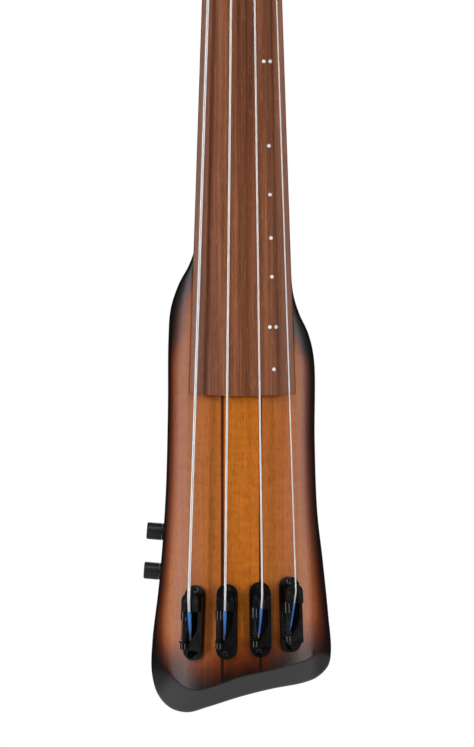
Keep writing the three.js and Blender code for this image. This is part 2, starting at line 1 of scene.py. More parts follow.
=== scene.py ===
"""A fretless electric upright bass, dressed for a studio picture around its CAD frame.

Shapes are laid out in the instrument's own millimetres: x runs from the bass side to the treble
side, depths are heights above the flat back (y = -depth), and z runs up the neck from the bridge
line. INSTRUMENT turns them into the row frame, in metres.
"""

import math

import bmesh
import bpy
import numpy as np
from mathutils import Matrix, Vector, geometry


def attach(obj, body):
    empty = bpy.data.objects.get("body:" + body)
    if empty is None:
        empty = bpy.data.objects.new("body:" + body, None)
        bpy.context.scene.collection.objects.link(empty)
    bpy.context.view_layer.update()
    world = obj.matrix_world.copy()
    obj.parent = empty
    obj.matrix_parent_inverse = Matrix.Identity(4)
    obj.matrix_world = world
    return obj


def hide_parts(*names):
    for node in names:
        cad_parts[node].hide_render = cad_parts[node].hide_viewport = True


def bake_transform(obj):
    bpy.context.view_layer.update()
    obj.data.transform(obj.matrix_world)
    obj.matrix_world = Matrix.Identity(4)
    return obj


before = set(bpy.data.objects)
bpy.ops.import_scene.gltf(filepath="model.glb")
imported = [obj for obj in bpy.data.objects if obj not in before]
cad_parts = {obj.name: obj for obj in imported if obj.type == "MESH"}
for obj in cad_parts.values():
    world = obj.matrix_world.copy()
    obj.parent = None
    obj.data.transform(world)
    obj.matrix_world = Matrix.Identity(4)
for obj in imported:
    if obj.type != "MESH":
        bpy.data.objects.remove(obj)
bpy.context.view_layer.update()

# ---------------------------------------------------------------- driving dimensions, millimetres
GAP = 0.3
NUT_Z = 864.0
NUT_LENGTH = 6.0
BOARD_END_Z = 160.0
NUT_HALF_WIDTH = 20.0
BOARD_END_HALF_WIDTH = 43.4

CROWN = 44.0
ARCH_RADIUS = 110.0
BOARD_PLANE = 35.0
BOARD_CROWN_AT_NUT = 42.0
BOARD_CROWN_AT_END = 50.0
BOARD_END_BOW = 1.6

STRIPE_BASS = (-17.3, -14.8)
STRIPE_TREBLE = (13.8, 16.3)
WING_LINE = 45.7

BODY_TOP_Z = 276.0
CHAMFER_DROP = 0.8
BACK_ROUNDING = 5.0
RIM_ROUNDING = 2.0

NECK_DEPTH_AT_NUT = 15.0
NECK_DEPTH_AT_HEEL = 20.0
HEEL_TOP_Z = 345.0

HEAD_THICKNESS = 15.0
HEAD_ANGLE = math.radians(10)

# Edges sharper than these show as edges.
SHARP_ANGLE = math.radians(35)
WOOD_SHARP_ANGLE = math.radians(32)

STAND_PLATE_Z = 165.0
STAND_PLATE_THICKNESS = 4.0
STAND_HOLE_OFFSET = 28.0

STRING_HEIGHT = 17.0
STRING_CLEARANCE_AT_NUT = 0.8
STRINGS = {
    "e": {"gauge": 2.54, "base": -37.6, "line": -6.0, "nut": -15.5},
    "a": {"gauge": 2.03, "base": -11.9, "line": -5.1, "nut": -5.2},
    "d": {"gauge": 1.65, "base": 14.2, "line": -3.3, "nut": 5.4},
    "g": {"gauge": 1.14, "base": 37.9, "line": 0.9, "nut": 15.7},
}

# The body's outline, from the bass shoulder round the bottom to the treble shoulder.
BODY_OUTLINE = [
    (-39.6, BODY_TOP_Z), (-43.5, 266), (-51.6, 251), (-58.2, 231), (-60.1, 205), (-60.5, 150),
    (-62.4, 78), (-67.6, 8), (-73.2, -40), (-73.7, -66), (-68.8, -84), (-58.5, -95), (-44.5, -98.3),
    (-28, -93.7), (-2, -85.4), (24, -78.9), (50, -74.2), (61, -70), (70.2, -61), (72.7, -49),
    (70.4, -18), (65.9, 26), (61.4, 66), (59.3, 124), (58.7, 190), (54, 211), (46.5, 227.5),
    (41.8, 243), (39.8, 264), (39.6, BODY_TOP_Z),
]
HEAD_OUTLINE = [
    (20, -1), (20.6, 8), (27, 21), (34.5, 34), (36.5, 55), (34.5, 104), (28, 125), (14, 136.5), (0, 139),
]

# Where the flat of the front ends: a soft roll down both sides, a crisp crease across the bottom.
ROLL_LINE = [
    (-36, BODY_TOP_Z), (-46.5, 252), (-52.5, 228), (-54.4, 205), (-56, 150), (-58.4, 78), (-63.6, 8),
    (-67.4, -25), (-65.4, -50), (-61.2, -62.6), (-55.4, -70.3), (-49.3, -75.8), (-42.2, -78.9),
    (-34.1, -79.3), (-26, -77.3), (-13.8, -73.2), (-1.6, -68.7), (22.7, -63.4), (47.1, -57), (55.5, -54),
    (60, -49), (61, -40), (60.4, -18), (58, 26), (55.2, 66), (53.3, 124), (52.8, 190), (49, 208),
    (42, 225), (37, 243), (36, BODY_TOP_Z),
]

# How far the wood's mesh lines lie inside the outline, beside the crease and beside the seat's edge.
RIM_OFFSETS = [0.3, 0.8, 1.4, 2.1, 3.3, 4.6, 6.5, 9, 12]
CREASE_OFFSETS = [-2.6, -1.2, -0.5, 0, 0.5, 1.2, 2.6]
SEAT_OFFSETS = [-1.2, 0.6, 1.6, 2.8]

# The node, the two sides and the material of each lamination.
LAMINATIONS = [
    ("body_wing_bass", -90, -WING_LINE, "wing"),
    ("neck_side_bass", -WING_LINE, STRIPE_BASS[0], "side"),
    ("neck_stripe_bass", *STRIPE_BASS, "stripe"),
    ("neck_center", STRIPE_BASS[1], STRIPE_TREBLE[0], "center"),
    ("neck_stripe_treble", *STRIPE_TREBLE, "stripe"),
    ("neck_side_treble", STRIPE_TREBLE[1], WING_LINE, "side"),
    ("body_wing_treble", WING_LINE, 90, "wing"),
]

# One bridge unit: u across, v along the string from the saddle's ridge, w out of the top.
UNIT_TOP = 12.0
UNIT_BOTTOM = -49.5
UNIT_HALF_WIDTH = 8.7
PLATE = 3.0
WALL = 9.0
BLOCK_TOP = 15.2
SADDLE_HALF_WIDTH = 6.9
SADDLE_FRONT = 6.2
SADDLE_REAR = -9.5
BOSS_END = -17.0
LUG_FRONT = -33.6
LUG_REAR = -35.4
SCREW_SIDE = -5.6
SCREW_HEIGHT = 11.0
SCREW_RADIUS = 1.35
SCREW_PITCH = 0.7
SCREW_HEAD_RADIUS = 2.6
BALL_SIDE = -1.7
BALL_LINE = -33.6
BRIDGE_SCREWS = [(0, 8.5), (-1.5, -44.7)]
SILK_START = 10.2
SILK_WIDTHS = {"e": (3.3, 1.6), "a": (2.9, 1.7), "d": (2.4, 1.6), "g": (1.7, 1.2)}
COIL_RADIUS = 2.25
COIL_WIRE = 0.32
COIL_TURNS = 7

POST_X = 25.0
POST_RADIUS = 6.0
LOWER_POST_Z = 42.0
UPPER_POST_Z = 92.0
WORM_OFFSET = 13.4
WORM_DEPTH = 6.0
GEAR_RADIUS = 10.0
GEAR_TEETH = 20
BOARD_EASE = 1.9
SLOT_DEPTH = 10.5
WINDING_START = 7.5

KNOB_RADIUS = 7.0
KNOB_DEPTH = 12.0
KNOB_TILT = math.radians(4.4)
KNOBS = {"volume": (-64.9, 49.1), "tone": (-67.3, 16.8)}

# Blocks and bays: two sides, a depth range if there is one, and two levels. A bay ends with its depth.
ROD_SLOT = (-3.3, 3.3, 26.7, 40.0, 299.7, NUT_Z + 12.3)
BATTERY_SIDES = (15.75, 42.25)
BATTERY_LEVELS = (8.5, 55.0)
BATTERY_BACK = 4.2
PREAMP_FACE = 16.7
COVER_THICKNESS = 2.0
LID_MARGIN = 2.0
CONTROL_BAY = (-53.5, -4.0, -8.0, 72.0, 23.0)
BATTERY_BAY = (12.0, 46.0, 2.0, 60.0, 24.0)
JACK = (-26.0, 10.0)
JACK_BORE = 3.3

DOT_FRETS = (3, 5, 7, 9, 12, 15, 17, 19, 21, 24, 27)
# Grey for the bottom chamfer: a painted reflection of the pale floor and light below it.
CHAMFER_REFLECTION_GREY = (0.044, 0.0425, 0.042, 1)

# Camera, lights and floor are in metres: a light has a place, a target, a size and a power.
CAMERA_LENS = 474.4
CAMERA_PLACE = (-0.0041, -8.054, 0.0132)
LIGHTS = {
    "left_box": ((-2.35, -1.62, 0.2), (0, 0, 0.1), (0.6, 2.6), 50),
    "right_box": ((2.3, -1.5, 0.2), (0, 0, 0.1), (0.6, 2.6), 42),
    "front_fill": ((-0.5, -3.2, 3.4), (0, 0, 0.1), (1.6, 1.4), 60),
    "under_card": ((0.0, -0.35, -1.2), (0, 0.02, -0.2), (2.6, 0.6), 9.0),
    "back_fill": ((0.6, 2.6, 1.4), (0, 0, 0.2), (1.8, 1.8), 50),
}
AMBIENT = 0.06
FLOOR_RADIUS = 1.15
FLOOR_Z = -0.57
FLOOR_THICKNESS = 0.02

METRES = Matrix.Identity(4)
INSTRUMENT = Matrix.Translation(
    (0, -(STAND_PLATE_THICKNESS + GAP) / 1000, -STAND_PLATE_Z / 1000)
) @ Matrix.Scale(0.001, 4)
HEAD = (
    INSTRUMENT
    @ Matrix.Translation((0, -BOARD_PLANE, NUT_Z + NUT_LENGTH))
    @ Matrix.Rotation(-HEAD_ANGLE, 4, "X")
)


# ---------------------------------------------------------------- surfaces shared by the pieces
def sag(x):
    return ARCH_RADIUS - np.sqrt(ARCH_RADIUS**2 - np.asarray(x, float) ** 2)


def top_height(x):
    return CROWN - sag(x)


def board_share(z):
    return (NUT_Z - z) / (NUT_Z - BOARD_END_Z)


def board_half_width(z):
    half = NUT_HALF_WIDTH + (BOARD_END_HALF_WIDTH - NUT_HALF_WIDTH) * board_share(z)
    return np.maximum(half, NUT_HALF_WIDTH)


def board_crown(z):
    return BOARD_CROWN_AT_NUT + (BOARD_CROWN_AT_END - BOARD_CROWN_AT_NUT) * board_share(z)


def string_height_at_nut(string):
    return BOARD_CROWN_AT_NUT - sag(string["nut"]) + STRING_CLEARANCE_AT_NUT + string["gauge"] / 2


def smoothstep(low, high, value):
    t = np.clip((np.asarray(value, float) - low) / (high - low), 0, 1)
    return t * t * (3 - 2 * t)


def mix(a, b, share):
    return a + (b - a) * share


def unit_frame(string):
    """The frame of one bridge unit: its z runs along the string and its -y out of the arched top."""
    tilt = math.asin(string["base"] / ARCH_RADIUS)
    ridge = string["base"] + STRING_HEIGHT * math.sin(tilt)
    splay = math.atan((string["nut"] - ridge) / (NUT_Z - string["line"]) / math.cos(tilt))
    place = Matrix.Translation((string["base"], -float(top_height(string["base"])), string["line"]))
    return INSTRUMENT @ place @ Matrix.Rotation(tilt, 4, "Z") @ Matrix.Rotation(splay, 4, "Y")


UNITS = {name: unit_frame(string) for name, string in STRINGS.items()}


# ---------------------------------------------------------------- mesh tools
def smooth_line(points, steps):
    """A centripetal Catmull-Rom curve through a few chosen points, steps pieces to each stretch."""
    ends = [2 * np.array(points[0]) - points[1], 2 * np.array(points[-1]) - points[-2]]
    knots = np.array([ends[0], *points, ends[1]], float)
    line = []
    for p0, p1, p2, p3 in zip(knots, knots[1:], knots[2:], knots[3:]):
        d0, d1, d2 = (np.sqrt(np.linalg.norm(b - a)) for a, b in ((p0, p1), (p1, p2), (p2, p3)))
        slope1 = ((p1 - p0) / d0 - (p2 - p0) / (d0 + d1) + (p2 - p1) / d1) * d1
        slope2 = ((p2 - p1) / d1 - (p3 - p1) / (d1 + d2) + (p3 - p2) / d2) * d1
        for t in np.arange(steps) / steps:
            line.append(
                p1 + slope1 * t + (3 * (p2 - p1) - 2 * slope1 - slope2) * t**2
                + (2 * (p1 - p2) + slope1 + slope2) * t**3
            )
    line.append(np.array(points[-1], float))
    return np.array(line)


def rounded_outline(width, height, radius, x=0.0, z=0.0, steps=6):
    points = []
    for quarter, (sx, sz) in enumerate(((1, 1), (-1, 1), (-1, -1), (1, -1))):
        for i in range(steps + 1):
            angle = (quarter + i / steps) * math.pi / 2
            points.append((
                x + sx * (width / 2 - radius) + radius * math.cos(angle),
                z + sz * (height / 2 - radius) + radius * math.sin(angle),
            ))
    return points


def bm_from(vertices, faces):
    bm = bmesh.new()
    made = [bm.verts.new(v) for v in vertices]
    for face in faces:
        bm.faces.new([made[i] for i in face])
    return bm


def join_bms(*bms):
    """The first bmesh, holding a copy of all the others."""
    for other in bms[1:]:
        spare = bpy.data.meshes.new("spare")
        other.to_mesh(spare)
        bms[0].from_mesh(spare)
        bpy.data.meshes.remove(spare)
        other.free()
    return bms[0]


def prism(outline, low, high):
    """An [x, z] outline between two heights above the back."""
    count = len(outline)
    vertices = [(x, -low, z) for x, z in outline] + [(x, -high, z) for x, z in outline]
    faces = [list(range(count)), list(range(2 * count - 1, count - 1, -1))]
    for i in range(count):
        j = (i + 1) % count
        faces.append([j, i, i + count, j + count])
    bm = bm_from(vertices, faces)
    bmesh.ops.recalc_face_normals(bm, faces=bm.faces)
    return bm


def block(x0, x1, low, high, z0, z1):
    return prism([(x0, z0), (x1, z0), (x1, z1), (x0, z1)], low, high)


def turned_to(direction):
    return Vector((0, 0, 1)).rotation_difference(Vector(direction)).to_matrix()


def ring_faces(rings, sides):
    """The faces of a tube whose vertices come ring by ring, closed at both ends."""
    last = (rings - 1) * sides
    faces = [list(range(sides))[::-1], [last + k for k in range(sides)]]
    for start in range(0, last, sides):
        for k in range(sides):
            a, b = start + k, start + (k + 1) % sides
            faces.append([a, b, b + sides, a + sides])
    return faces


def lathe(profile, start, direction, sides=32):
    """A solid of revolution: (radius, distance) pairs along a direction from a starting point."""
    turn = turned_to(direction)
    vertices = []
    rings = []
    for radius, along in profile:
        ring = []
        spots = 1 if radius < 1e-6 else sides
        for i in range(spots):
            angle = 2 * math.pi * i / sides
            local = Vector((radius * math.cos(angle), radius * math.sin(angle), along))
            ring.append(len(vertices))
            vertices.append(Vector(start) + turn @ local)
        rings.append(ring)
    faces = []
    for a, b in zip(rings, rings[1:]):
        for i in range(sides):
            j = (i + 1) % sides
            corners = [a[i % len(a)], a[j % len(a)], b[j % len(b)], b[i % len(b)]]
            face = list(dict.fromkeys(corners))
            if len(face) > 2:
                faces.append(face)
    for ring, flip in ((rings[0], True), (rings[-1], False)):
        if len(ring) > 1:
            faces.append(ring[::-1] if flip else ring)
    bm = bm_from(vertices, faces)
    bmesh.ops.recalc_face_normals(bm, faces=bm.faces)
    return bm


def rod(radius, start, end, sides=24):
    direction = Vector(end) - Vector(start)
    return lathe([(radius, 0), (radius, direction.length)], start, direction.normalized(), sides)


def threaded_rod(radius, depth, pitch, start, direction, length, sides, rows_per_turn):
    """A rod with a helical thread, plain and slightly tapered at both ends."""
    turn = turned_to(direction)
    rows = int(length / pitch * rows_per_turn)
    vertices = []
    for row in range(rows + 1):
        along = length * row / rows
        fade = min(1.0, along / pitch, (length - along) / pitch)
        for i in range(sides):
            angle = 2 * math.pi * i / sides
            phase = (along / pitch - i / sides) % 1.0
            crest = 1 - abs(2 * phase - 1)
            r = radius - depth + depth * crest * fade
            vertices.append(
                Vector(start) + turn @ Vector((r * math.cos(angle), r * math.sin(angle), along))
            )
    return bm_from(vertices, ring_faces(rows + 1, sides))


def tube(points, radii, sides=16):
    """A round tube along a path, its rings carried along without twisting."""
    points = [Vector(p) for p in points]
    radii = [float(r) for r in np.broadcast_to(radii, len(points))]
    vertices = []
    side = None
    for i, point in enumerate(points):
        before = points[max(i - 1, 0)]
        after = points[min(i + 1, len(points) - 1)]
        tangent = (after - before).normalized()
        if side is None:
            side = tangent.orthogonal().normalized()
        side = (side - tangent * side.dot(tangent)).normalized()
        across = tangent.cross(side)
        for k in range(sides):
            angle = 2 * math.pi * k / sides
            vertices.append(point + radii[i] * (side * math.cos(angle) + across * math.sin(angle)))
    return bm_from(vertices, ring_faces(len(points), sides))


def loft(rings):
    """A solid through closed rings of equal size."""
    count = len(rings[0])
    vertices = [point for ring in rings for point in ring]
    last = (len(rings) - 1) * count
    faces = [list(range(count)), [last + i for i in range(count)][::-1]]
    for level in range(len(rings) - 1):
        for i in range(count):
            a = level * count + i
            b = level * count + (i + 1) % count
            faces.append([a, a + count, b + count, b])
    bm = bm_from(vertices, faces)
    bmesh.ops.recalc_face_normals(bm, faces=bm.faces)
    return bm


def put(name, bm, place=INSTRUMENT):
    """A bmesh as an object in the row frame, smooth but for its sharp edges."""
    mesh = bpy.data.meshes.new(name)
    bm.to_mesh(mesh)
    bm.free()
    mesh.transform(place)
    mesh.shade_smooth()
    mesh.set_sharp_from_angle(angle=SHARP_ANGLE)
    obj = bpy.data.objects.new(name, mesh)
    bpy.context.scene.collection.objects.link(obj)
    return obj


def bake_modifiers(obj):
    """Applies an object's modifiers."""
    graph = bpy.context.evaluated_depsgraph_get()
    mesh = bpy.data.meshes.new_from_object(obj.evaluated_get(graph), depsgraph=graph)
    old = obj.data
    obj.modifiers.clear()
    obj.data = mesh
    bpy.data.meshes.remove(old)
    mesh.name = obj.name
    return obj


def boolean(obj, tools, operation="DIFFERENCE"):
    """Cuts, joins or crosses an object with others, which are used up."""
    for tool in tools:
        modifier = obj.modifiers.new("boolean", "BOOLEAN")
        modifier.operation = operation
        modifier.solver = "MANIFOLD"
        modifier.object = tool
    bpy.context.view_layer.update()
    bake_modifiers(obj)
    for tool in tools:
        bpy.data.objects.remove(tool)
    return obj


def cut(obj, shapes, place=INSTRUMENT):
    boolean(obj, [put("cut", shape, place) for shape in shapes])


def join(obj, shapes, place=INSTRUMENT):
    boolean(obj, [put("part", shape, place) for shape in shapes], "UNION")


def soften(obj, width, segments, angle=40):
    """Rounds the edges sharper than an angle in degrees, and keeps the large faces flat."""
    modifier = obj.modifiers.new("bevel", "BEVEL")
    modifier.width = width / 1000
    modifier.segments = segments
    modifier.limit_method = "ANGLE"
    modifier.angle_limit = math.radians(angle)
    modifier.miter_outer = "MITER_ARC"
    bake_modifiers(obj)
    obj.data.shade_smooth()
    obj.data.set_sharp_from_angle(angle=SHARP_ANGLE)
    flatten = obj.modifiers.new("flat_faces", "WEIGHTED_NORMAL")
    flatten.keep_sharp = True
    flatten.weight = 80
    return bake_modifiers(obj)


def dress(obj, material, body="instrument", stands_for=None, slot=None):
    """Gives a piece its material, its body and the CAD node that it stands for. The slot argument is not
    used.
    """
    obj.data.materials.clear()
    obj.data.materials.append(MATERIALS[material])
    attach(obj, body)
    if stands_for:
        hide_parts(stands_for)


def build(name, shape, material, place=INSTRUMENT, joined=(), cuts=(), edge=None, **record):
    """One piece: a shape with others joined to it and cut from it, its edges softened, then dressed."""
    obj = put(name, shape, place)
    if joined:
        join(obj, joined, place)
    if cuts:
        cut(obj, cuts, place)
    if edge:
        soften(obj, *edge)
    dress(obj, material, **record)


# ---------------------------------------------------------------- shading tools
def linear(red, green, blue):
    """A colour given in sRGB's 0-255 as linear values."""
    parts = [value / 255 for value in (red, green, blue)]
    return (*(p / 12.92 if p <= 0.04045 else ((p + 0.055) / 1.055) ** 2.4 for p in parts), 1)


class Shader:
    """A Principled material, with short ways to add the nodes that vary it."""

    def __init__(self, name, color=None, roughness=0.5, metallic=0.0, more=None):
        self.material = bpy.data.materials.new(name)
        self.material.use_nodes = True
        self.tree = self.material.node_tree
        self.base = self.tree.nodes["Principled BSDF"]
        if color:
            self.base.inputs["Base Color"].default_value = color
        self.base.inputs["Roughness"].default_value = roughness
        self.base.inputs["Metallic"].default_value = metallic
        for key, value in (more or {}).items():
            self.base.inputs[key].default_value = value

    def add(self, kind, values=None, **settings):
        node = self.tree.nodes.new("ShaderNode" + kind)
        for key, value in settings.items():
            setattr(node, key, value)
        for key, value in (values or {}).items():
            if isinstance(value, bpy.types.NodeSocket):
                self.tree.links.new(value, node.inputs[key])
            else:
                node.inputs[key].default_value = value
        return node

    def drive(self, key, socket):
        self.tree.links.new(socket, self.base.inputs[key])

    def coordinates(self, scale, offset=(0, 0, 0)):
        where = self.add("TexCoord").outputs["Object"]
        return self.add("Mapping", {"Vector": where, "Scale": scale, "Location": offset}).outputs[0]

    def noise(self, scale=(1, 1, 1), detail=3.0, roughness=0.5, distortion=0.0, offset=(0, 0, 0)):
        values = {
            "Vector": self.coordinates(scale, offset), "Scale": 1.0, "Detail": detail,
            "Roughness": roughness, "Distortion": distortion,
        }
        return self.add("TexNoise", values).outputs["Fac"]

    def remap(self, value, low, high, to_low=0.0, to_high=1.0):
        values = {"Value": value, "From Min": low, "From Max": high, "To Min": to_low, "To Max": to_high}
        return self.add("MapRange", values).outputs["Result"]

    def math(self, operation, a, b):
        return self.add("Math", {0: a, 1: b}, operation=operation).outputs[0]

    def blend(self, share, a, b, blend_type="MIX"):
        node = self.add("Mix", data_type="RGBA", blend_type=blend_type)
        for index, value in ((0, share), (6, a), (7, b)):
            if isinstance(value, bpy.types.NodeSocket):
                self.tree.links.new(value, node.inputs[index])
            else:
                node.inputs[index].default_value = value
        return node.outputs[2]

    def ramp(self, value, stops):
        node = self.add("ValToRGB", {"Fac": value})
        elements = node.color_ramp.elements
        while len(elements) < len(stops):
            elements.new(0.5)
        for element, (place, color) in zip(elements, stops):
            element.position = place
            element.color = color
        return node.outputs["Color"]

    def cloudy(self, scale, low, high, detail=3, roughness=0.5):
        """Colours the surface with a soft cloud between two colours, and returns the cloud."""
        cloud = self.noise((scale, scale, scale), detail, roughness)
        self.drive("Base Color", self.blend(cloud, low, high))
        return cloud

    def vary_roughness(self, value, low, high):
        self.drive("Roughness", self.remap(value, 0.3, 0.7, low, high))

    def wave(self, scale, distortion, detail):
        where = self.coordinates((1, 1, 1))
        values = {"Vector": where, "Scale": scale, "Distortion": distortion, "Detail": detail}
        return self.add("TexWave", values, bands_direction="Z").outputs["Fac"]

    def bump(self, height, strength, distance):
        values = {"Height": height, "Strength": strength, "Distance": distance}
        self.drive("Normal", self.add("Bump", values).outputs["Normal"])


# ---------------------------------------------------------------- materials
def wood_material(name, dark, light, offset, figure):
    """Oiled wood with long grain, faint cross figure and pores, shaded to black at the rim, with a flat
    grey painted reflection on the bottom chamfer.
    """
    dark, light = linear(*dark), linear(*light)
    shader = Shader(name, roughness=0.42, more={"IOR": 1.38})
    streaks = shader.noise((420, 420, 9), 4, 0.6, 0.4, offset)
    bands = shader.noise((90, 90, 3), 2, 0.5, 0.2, offset)
    flame = shader.noise((60, 60, 190), 3, 0.55, 0.8, offset)
    grain = shader.math("MULTIPLY", streaks, 0.45)
    banded = shader.math("ADD", grain, shader.math("MULTIPLY", bands, 0.55 - figure * 0.4))
    total = shader.math("ADD", banded, shader.math("MULTIPLY", flame, figure))
    tone = shader.remap(total, 0.32, 0.78)
    plain = shader.blend(tone, dark, light)
    pores = shader.noise((2600, 2600, 60), 2, 0.6, 0.0, offset)
    mottle = shader.noise((700, 700, 170), 4, 0.7, 0.5, offset)
    deep = shader.blend(0.45, dark, (0.05, 0.014, 0.003, 1))
    spotted = shader.blend(shader.remap(mottle, 0.48, 0.72, 0.0, 0.55), plain, deep)
    pitted = shader.blend(shader.remap(pores, 0.62, 0.72, 0.0, 0.4), spotted, dark)

    shade = shader.add("Attribute", attribute_name="shade").outputs["Fac"]
    wobble = shader.math("ADD", shade, shader.remap(bands, 0.3, 0.7, -0.05, 0.05))
    tint = shader.ramp(wobble, [
        (0.0, (0.004, 0.003, 0.003, 1)), (0.12, (0.03, 0.012, 0.008, 1)), (0.4, (0.28, 0.17, 0.12, 1)),
        (0.75, (0.72, 0.60, 0.52, 1)), (1.0, (1, 1, 1, 1)),
    ])
    # The bottom chamfer turns grey here: a painted reflection of the light from below.
    band = shader.add("Attribute", attribute_name="band").outputs["Fac"]
    color = shader.blend(band, shader.blend(1.0, pitted, tint, "MULTIPLY"), CHAMFER_REFLECTION_GREY)
    shader.drive("Base Color", color)
    shader.vary_roughness(streaks, 0.30, 0.40)
    shader.bump(shader.math("ADD", streaks, shader.math("MULTIPLY", pores, 0.6)), 0.12, 0.00015)
    return shader.material


def board_material():
    """Open-pored rosewood-like board: long dark streaks and fine pores, nearly matte."""
    shader = Shader("fingerboard_wood", roughness=0.5)
    streaks = shader.noise((520, 520, 5), 5, 0.62, 0.3)
    wide = shader.noise((110, 110, 1.6), 3, 0.55, 0.3, (4, 0, 0))
    tone = shader.math("ADD", shader.math("MULTIPLY", streaks, 0.5), shader.math("MULTIPLY", wide, 0.5))
    color = shader.ramp(shader.remap(tone, 0.33, 0.68), [
        (0.0, linear(86, 42, 20)), (0.35, linear(116, 62, 32)), (0.7, linear(140, 80, 46)),
        (1.0, linear(168, 108, 68)),
    ])
    pores = shader.noise((2400, 2400, 70), 2, 0.7)
    color = shader.blend(shader.remap(pores, 0.58, 0.68, 0.0, 0.55), color, linear(52, 26, 14))
    flecks = shader.noise((1700, 1700, 90), 2, 0.6, 0.0, (9, 3, 1))
    color = shader.blend(shader.remap(flecks, 0.6, 0.7, 0.0, 0.5), color, linear(178, 120, 82))
    shader.drive("Base Color", color)
    shader.vary_roughness(tone, 0.42, 0.54)
    shader.bump(shader.math("SUBTRACT", streaks, shader.math("MULTIPLY", pores, 0.8)), 0.25, 0.00012)
    return shader.material


def black_metal_material():
    """Satin black lacquer on metal, with a fine orange peel and faint handling marks."""
    shader = Shader("black_metal", roughness=0.2, more={"IOR": 1.4})
    cloud = shader.cloudy(120, (0.003, 0.003, 0.0035, 1), (0.008, 0.008, 0.009, 1), 3, 0.55)
    shader.vary_roughness(cloud, 0.14, 0.22)
    shader.bump(shader.noise((3000, 3000, 3000), 2, 0.5), 0.03, 0.00004)
    return shader.material


def black_plastic_material():
    """Moulded black plastic with a fine spark-eroded texture."""
    shader = Shader("black_plastic", roughness=0.5, more={"IOR": 1.4})
    shader.cloudy(60, (0.006, 0.006, 0.0065, 1), (0.013, 0.013, 0.014, 1))
    fine = shader.noise((1800, 1800, 1800), 3, 0.6)
    shader.vary_roughness(fine, 0.36, 0.52)
    shader.bump(fine, 0.35, 0.00008)
    return shader.material


def bare_metal_material(name, low, high, roughness):
    """Plated or plain metal with fine scratches."""
    shader = Shader(name, roughness=roughness, metallic=1.0)
    shader.cloudy(150, low, high)
    scratches = shader.noise((300, 4000, 300), 3, 0.6)
    shader.vary_roughness(scratches, roughness - 0.07, roughness + 0.08)
    shader.bump(scratches, 0.08, 0.00004)
    return shader.material


def wound_string_material():
    """Flat-wound steel ribbon, its turns just showing across the string."""
    shader = Shader("string_steel", roughness=0.4, metallic=0.7)
    wave = shader.wave(320.0, 0.2, 1.0)
    cloud = shader.noise((200, 200, 60), 3, 0.5)
    base = shader.blend(cloud, linear(212, 211, 211), linear(228, 226, 225))
    gaps = shader.math("MULTIPLY", wave, 0.1)
    shader.drive("Base Color", shader.blend(gaps, base, linear(150, 152, 156)))
    shader.drive("Roughness", shader.remap(wave, 0.0, 1.0, 0.42, 0.5))
    shader.bump(wave, 0.08, 0.00003)
    return shader.material


def silk_material():
    """Tightly wound blue thread with a soft sheen."""
    shader = Shader("silk", roughness=0.6, more={"Sheen Weight": 0.5, "Sheen Roughness": 0.4})
    wave = shader.wave(420.0, 1.5, 2.0)
    cloud = shader.noise((500, 500, 500), 3, 0.5)
    thread = shader.blend(wave, linear(34, 84, 158), linear(72, 146, 222))
    faded = shader.math("MULTIPLY", cloud, 0.4)
    shader.drive("Base Color", shader.blend(faded, thread, linear(44, 104, 186)))
    shader.bump(wave, 0.6, 0.00012)
    return shader.material


def nut_material():
    """A dark, faintly mottled composite, its roughness varying with the mottle."""
    shader = Shader("nut_composite", roughness=0.35)
    cloud = shader.cloudy(180, (0.010, 0.010, 0.010, 1), (0.028, 0.027, 0.026, 1), 4, 0.6)
    shader.vary_roughness(cloud, 0.3, 0.42)
    return shader.material


def circuit_material():
    """Green solder mask over a faint web of copper tracks."""
    shader = Shader("circuit_board", roughness=0.4)
    tracks = shader.add("TexBrick", {
        "Vector": shader.coordinates((1, 1, 1)), "Scale": 160.0, "Mortar Size": 0.04,
        "Color1": (0.010, 0.12, 0.045, 1), "Color2": (0.014, 0.15, 0.06, 1),
        "Mortar": (0.05, 0.28, 0.12, 1),
    }).outputs["Color"]
    cloud = shader.noise((400, 400, 400), 2, 0.5)
    share = shader.remap(cloud, 0.3, 0.7, 0.0, 0.3)
    shader.drive("Base Color", shader.blend(share, tracks, (0.008, 0.10, 0.04, 1)))
    shader.vary_roughness(cloud, 0.32, 0.5)
    return shader.material


def battery_material():
    """A plain painted steel can, copper coloured at one end and black at the other."""
    shader = Shader("battery_can", roughness=0.3, metallic=0.6)
    split = shader.add("SeparateXYZ", {0: shader.add("TexCoord").outputs["Object"]}).outputs[2]
    band = shader.remap(split, -0.122, -0.1215)
    cloud = shader.noise((300, 300, 300), 3, 0.5)
    copper = shader.blend(cloud, (0.42, 0.17, 0.06, 1), (0.55, 0.24, 0.09, 1))
    shader.drive("Base Color", shader.blend(band, (0.012, 0.012, 0.013, 1), copper))
    shader.vary_roughness(cloud, 0.25, 0.38)
    return shader.material


def inlay_material():
    """Polished white dots with a faint cloud."""
    shader = Shader("inlay", roughness=0.25)
    shader.cloudy(900, linear(244, 243, 240), linear(254, 254, 252))
    return shader.material


# Each wood's material name, darkest and lightest sRGB colours, place in the grain and cross figure.
WOODS = {
    "center": ("neck_wood_center", (160, 80, 14), (204, 118, 34), (0, 0, 0), 0.5),
    "side": ("neck_wood_side", (150, 78, 26), (192, 112, 46), (3.3, 1.7, 0.4), 0.3),
    "stripe": ("stripe_wood", (58, 22, 8), (96, 42, 18), (7.1, 2.9, 0.9), 0.1),
    "wing": ("wing_wood", (146, 72, 26), (188, 106, 46), (11.7, 5.2, 1.3), 0.25),
}
MATERIALS = {
    **{key: wood_material(*wood) for key, wood in WOODS.items()},
    "board": board_material(),
    "metal": black_metal_material(),
    "plastic": black_plastic_material(),
    "steel": bare_metal_material("steel", (0.45, 0.46, 0.48, 1), (0.6, 0.61, 0.62, 1), 0.3),
    "brass": bare_metal_material("brass", (0.55, 0.38, 0.14, 1), (0.66, 0.48, 0.2, 1), 0.35),
    "string": wound_string_material(),
    "silk": silk_material(),
    "nut": nut_material(),
    "circuit": circuit_material(),
    "battery": battery_material(),
    "inlay": inlay_material(),
}


